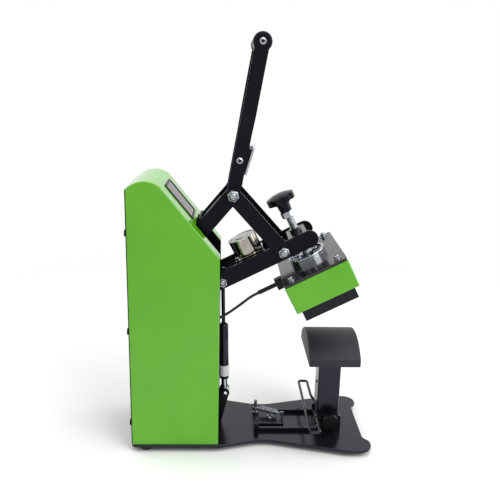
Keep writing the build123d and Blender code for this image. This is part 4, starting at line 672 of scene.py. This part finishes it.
def makeStrut(settings, caps):
    s = settings
    foot = Vector((0, *strutFoot))
    up = (Vector((0, *strutHead)) - foot).normalized()
    bottom, top, half = s["bottom"], s["top"], s["tube"] / 2
    bm = bmesh.new()
    turn(bm, foot, up, [(bottom, 0), (bottom, half - s["bottomRound"]),
                        (bottom + s["bottomStep"], half - s["bottomStep"]),
                        (bottom + s["bottomRound"], half), (top - s["rollStart"], half),
                        (top - s["roll"], half - s["roll"]), (top, s["lip"]),
                        (top - s["lipStep"], s["bore"]), (top - s["boreDepth"], s["bore"]),
                        (top - s["boreDepth"], 0)], 48)
    addPiece("strutBarrel", bm, basePaint, "strut_cylinder", ["strut_tube"])
    bm = bmesh.new()
    turn(bm, foot, up, [(s["bandLow"], half), (s["bandLow"], half + s["band"]),
                        (s["bandHigh"], half + s["band"]), (s["bandHigh"], half),
                        (s["bandLow"], half)], 48)
    addPiece("strutBand", bm, paleLabel, "strut_cylinder")
    bm = bmesh.new()
    addPin(bm, foot, up, s["studStart"], bottom, s["stud"])
    for side in (-1, 1):
        centre, axis = onX(strutFoot, side)
        turn(bm, centre, axis, [(0, s["eye"] / 2), (s["eyeHalf"] - s["eyeEdge"], s["eye"] / 2),
                                (s["eyeHalf"], s["eye"] / 2 - s["eyeEdge"]),
                                (s["eyeHalf"], s["pin"] / 2), (0, s["pin"] / 2)])
    addPiece("strutStudAndEye", bm, brightSteel, "strut_cylinder")
    bm = bmesh.new()
    for side in (-1, 1):             # domed caps over the lower bolt's plain heads
        centre, axis = onX(strutFoot, side)
        socketHead(bm, centre, axis, caps, caps["start"])
    addPiece("strutFootHeads", bm, zincPlate, "frame", second=socketShade)


makeStrut(strutTube, strutCaps)
print("gas strut made")

# the coil spring that pulls the cap bail back to the spring plate's tab
coilSet = {"pinHook": (12.0, -9.75, 30.8), "tabHook": (0.0, -53.75, 25.9), "wire": 1.4,
           "wireSides": 8, "radius": 3.8, "spacing": 1.06, "stepsPerTurn": 16, "hookRun": 9.0,
           "hookRadius": 3.4, "hookSteps": 28, "hookOverlap": 0.7}


def wireRing(bm, centre, normal, settings):
    # the wire's section, a small circle to be spun along
    verts = bmesh.ops.create_circle(bm, cap_ends=False, segments=settings["wireSides"],
                                    radius=settings["wire"] / 2 * mm)["verts"]
    turned = Vector(normal).to_track_quat("Z", "Y").to_matrix().to_4x4()
    bmesh.ops.transform(bm, matrix=Matrix.Translation(centre) @ turned, verts=verts)
    return verts + list(dict.fromkeys(edge for vert in verts for edge in vert.link_edges))


def makeCoil(settings):
    s = settings
    pinHook, tabHook = (Vector(s[key]) * mm for key in ("pinHook", "tabHook"))
    along = (tabHook - pinHook).normalized()
    out = along.orthogonal().normalized()
    length = (tabHook - pinHook).length / mm - 2 * s["hookRun"]
    turns = round(length / (s["wire"] * s["spacing"]))
    steps = s["stepsPerTurn"] * turns
    start = pinHook + along * s["hookRun"] * mm
    bm = bmesh.new()
    section = wireRing(bm, start + out * s["radius"] * mm, along.cross(out), s)
    bmesh.ops.spin(bm, geom=section, cent=start, axis=along, angle=2 * math.pi * turns,
                   steps=steps, dvec=along * length * mm / steps)
    # each hook is a ring, a straight run to the coil and a bar across the coil's end
    hookEnd = s["hookRun"] + s["hookOverlap"]
    for hook, normal, reach in ((pinHook, Vector((0, 0, 1)), along),
                                (tabHook, Vector((1, 0, 0)), -along)):
        flat = (reach - normal * reach.dot(normal)).normalized()
        section = wireRing(bm, hook + flat * s["hookRadius"] * mm, normal.cross(flat), s)
        bmesh.ops.spin(bm, geom=section, cent=hook, axis=normal, angle=2 * math.pi,
                       steps=s["hookSteps"], use_merge=True)
        addPin(bm, hook, reach, s["hookRadius"], hookEnd, s["wire"], s["wireSides"])
        addPin(bm, hook + reach * s["hookRun"] * mm, reach.orthogonal(), -s["radius"],
               s["radius"], s["wire"], s["wireSides"])
    coil = addPiece("bailCoil", bm, zincPlate, None, ["bail_spring"], 60)
    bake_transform(coil)
    print("coil spring made:", turns, "turns")


makeCoil(coilSet)

# the heater's lead, from the gland's sleeve to the panel in the case, as (y, z) in mm
leadSet = {"x": -22.0, "diameter": 4.2, "length": 148.7,
           "route": [(-8.09, 245.26), (2.59, 239.8), (18.25, 226.5), (45.25, 206.0),
                     (71.25, 194.5), (98.25, 191.0), (125.25, 191.0)]}


def makeLead(settings):
    curve = bpy.data.curves.new("leadLine", "CURVE")
    curve.dimensions = "3D"
    line = curve.splines.new("NURBS")
    line.points.add(len(settings["route"]) - 1)
    for point, (y, z) in zip(line.points, settings["route"]):
        point.co = (settings["x"] * mm, y * mm, z * mm, 1.0)
    line.order_u = 3
    line.use_endpoint_u = True
    line.resolution_u = 12
    holder = bpy.data.objects.new("leadLine", curve)
    bpy.context.scene.collection.objects.link(holder)
    depsgraph = bpy.context.evaluated_depsgraph_get()
    centreLine = bpy.data.meshes.new_from_object(holder.evaluated_get(depsgraph))
    curve.bevel_depth = settings["diameter"] / 2 * mm
    curve.bevel_resolution = 6
    curve.use_fill_caps = True
    depsgraph.update()
    tube = bpy.data.meshes.new_from_object(holder.evaluated_get(depsgraph))
    bpy.data.objects.remove(holder)
    bpy.data.meshes.remove(centreLine)
    bm = bmesh.new()
    bm.from_mesh(tube)
    bpy.data.meshes.remove(tube)
    lead = addPiece("heaterLead", bm, sleeveRubber, None, ["heater_lead"], 50)
    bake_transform(lead)


makeLead(leadSet)
print("heater lead made")

# the press pad: silicone sponge in a cloth skin, crowned, its edges pressed round
padSet = {"width": 114.8, "depth": 79.4, "bottom": 137.5, "side": 12.0, "crown": 37.5,
          "centreY": -126.75, "archSteps": 40, "edgeRound": 1.6, "edgeSteps": 4,
          "sharp": math.radians(25)}


def makePad(settings):
    s = settings
    half = s["width"] / 2
    rise = s["crown"] - s["side"]
    radius = (half * half + rise * rise) / (2 * rise)
    front = s["centreY"] - s["depth"] / 2
    bm = bmesh.new()
    corner = bm.verts.new(Vector((half, front, s["bottom"] + s["side"])) * mm)
    middle = Vector((0, front, s["bottom"] + s["crown"] - radius)) * mm
    bmesh.ops.spin(bm, geom=[corner], cent=middle, axis=(0, -1, 0),
                   angle=2 * math.asin(half / radius), steps=s["archSteps"])
    ends = sorted(bm.verts, key=lambda vert: vert.co.x)
    feet = []
    for corner in (ends[0], ends[-1]):
        foot = bm.verts.new((corner.co.x, corner.co.y, s["bottom"] * mm))
        bm.edges.new((corner, foot))
        feet.append(foot)
    bm.edges.new(feet)
    bmesh.ops.contextual_create(bm, geom=bm.edges[:])
    grown = bmesh.ops.extrude_face_region(bm, geom=bm.faces[:])["geom"]
    bmesh.ops.translate(bm, verts=[item for item in grown if isinstance(item, bmesh.types.BMVert)],
                        vec=(0, s["depth"] * mm, 0))
    bmesh.ops.recalc_face_normals(bm, faces=bm.faces)
    sharp = [edge for edge in bm.edges if edge.calc_face_angle(0) > s["sharp"]]
    bmesh.ops.bevel(bm, geom=sharp, affect="EDGES", offset=s["edgeRound"] * mm,
                    segments=s["edgeSteps"], profile=0.5, material=-1)
    pad = addPiece("pressPadSkin", bm, padCloth, "frame", ["press_pad"], 60)


makePad(padSet)
print("press pad made")

# the camera stands square to the press's side, a little above it; angles in radians
cameraSet = {"place": (-0.9148, 0.04065, 0.5516), "yaw": -0.038, "pitch": 0.261, "roll": 0.023,
             "filmWidth": 36.0, "focalShare": 613.2 / 500}   # focal length to film width


def aimCamera(settings):
    right, up, ahead = Vector((0, -1, 0)), Vector((0, 0, 1)), Vector((1, 0, 0))
    turned = Matrix.Rotation(settings["yaw"], 3, "Z")
    right, ahead = turned @ right, turned @ ahead
    c, s = math.cos(settings["pitch"]), math.sin(settings["pitch"])
    ahead, up = c * ahead - s * up, s * ahead + c * up
    c, s = math.cos(settings["roll"]), math.sin(settings["roll"])
    right, up = c * right + s * up, c * up - s * right
    data = bpy.data.cameras.new("camera")
    data.sensor_width = settings["filmWidth"]
    data.lens = settings["filmWidth"] * settings["focalShare"]
    data.clip_start = 0.05
    camera = bpy.data.objects.new("camera", data)
    axes = Matrix((right, up, -ahead)).transposed().to_4x4()
    camera.matrix_world = Matrix.Translation(settings["place"]) @ axes
    bpy.context.scene.collection.objects.link(camera)
    bpy.context.scene.camera = camera


aimCamera(cameraSet)

# a sheet of pale paper that fades into the white behind it
floorSet = {"half": 1.4, "colour": "#f8f8f8", "rough": 0.55, "fadeStart": 0.55, "fadeEnd": 1.2}


def makeFloor(settings):
    bm = bmesh.new()
    bmesh.ops.create_grid(bm, x_segments=1, y_segments=1, size=settings["half"])
    mesh = bpy.data.meshes.new("floor")
    bm.to_mesh(mesh)
    bm.free()
    floor = bpy.data.objects.new("floor", mesh)
    bpy.context.scene.collection.objects.link(floor)
    material, tree, shader = newMaterial("paperFloor", {
        "Base Color": hexToLinear(settings["colour"]), "Roughness": settings["rough"]})
    place = addNode(tree, "ShaderNodeTexCoord")
    reach = addNode(tree, "ShaderNodeVectorMath", {"operation": "LENGTH"},
                    {0: place.outputs["Object"]})
    fade = addNode(tree, "ShaderNodeMapRange", {"From Min": settings["fadeStart"],
                                                "From Max": settings["fadeEnd"]},
                   {"Value": reach.outputs["Value"]})
    clear = addNode(tree, "ShaderNodeBsdfTransparent")
    mix = addNode(tree, "ShaderNodeMixShader", None, {
        0: fade.outputs["Result"], 1: shader.outputs[0], 2: clear.outputs[0]})
    tree.links.new(mix.outputs[0], tree.nodes["Material Output"].inputs["Surface"])
    mesh.materials.append(material)


makeFloor(floorSet)

# even light from all round, and plain white where the camera, gloss or glass sees past the floor
worldSet = {"light": 0.5, "seen": 1.0, "colour": "#ffffff"}


def makeWorld(settings):
    world = bpy.data.worlds.new("studio")
    world.use_nodes = True
    bpy.context.scene.world = world
    tree = world.node_tree
    plain = tree.nodes["Background"]
    plain.inputs["Color"].default_value = hexToLinear(settings["colour"])
    plain.inputs["Strength"].default_value = settings["light"]
    white = addNode(tree, "ShaderNodeBackground", {"Color": hexToLinear(settings["colour"]),
                                                   "Strength": settings["seen"]})
    path = addNode(tree, "ShaderNodeLightPath")
    seen = path.outputs["Is Camera Ray"]
    for name in ("Is Glossy Ray", "Is Transmission Ray"):
        seen = addNode(tree, "ShaderNodeMath", {"operation": "MAXIMUM"},
                       {0: seen, 1: path.outputs[name]}).outputs["Value"]
    mix = addNode(tree, "ShaderNodeMixShader", None, {
        0: seen, 1: plain.outputs[0], 2: white.outputs[0]})
    tree.links.new(mix.outputs[0], tree.nodes["World Output"].inputs["Surface"])


makeWorld(worldSet)

# square soft boxes, all aimed at the middle of the press
lampAim = (0, -0.03, 0.28)
lamps = {
    "keyPanel": {"place": (-1.1, -0.9, 1.5), "size": 1.1, "watts": 16},
    "topPanel": {"place": (-0.2, -0.1, 1.9), "size": 1.3, "watts": 14},
    "fillPanel": {"place": (0.3, -1.8, 0.9), "size": 1.2, "watts": 10},
    "rimPanel": {"place": (0.6, 1.3, 1.2), "size": 1.0, "watts": 7},
}
for name, lamp in lamps.items():
    data = bpy.data.lights.new(name, "AREA")
    data.shape = "SQUARE"
    data.size = lamp["size"]
    data.energy = lamp["watts"]
    light = bpy.data.objects.new(name, data)
    aim = Vector(lampAim) - Vector(lamp["place"])
    light.matrix_world = (Matrix.Translation(lamp["place"])
                          @ aim.to_track_quat("-Z", "Y").to_matrix().to_4x4())
    bpy.context.scene.collection.objects.link(light)
bpy.context.scene.view_settings.view_transform = "Standard"
print("camera, floor and light set")
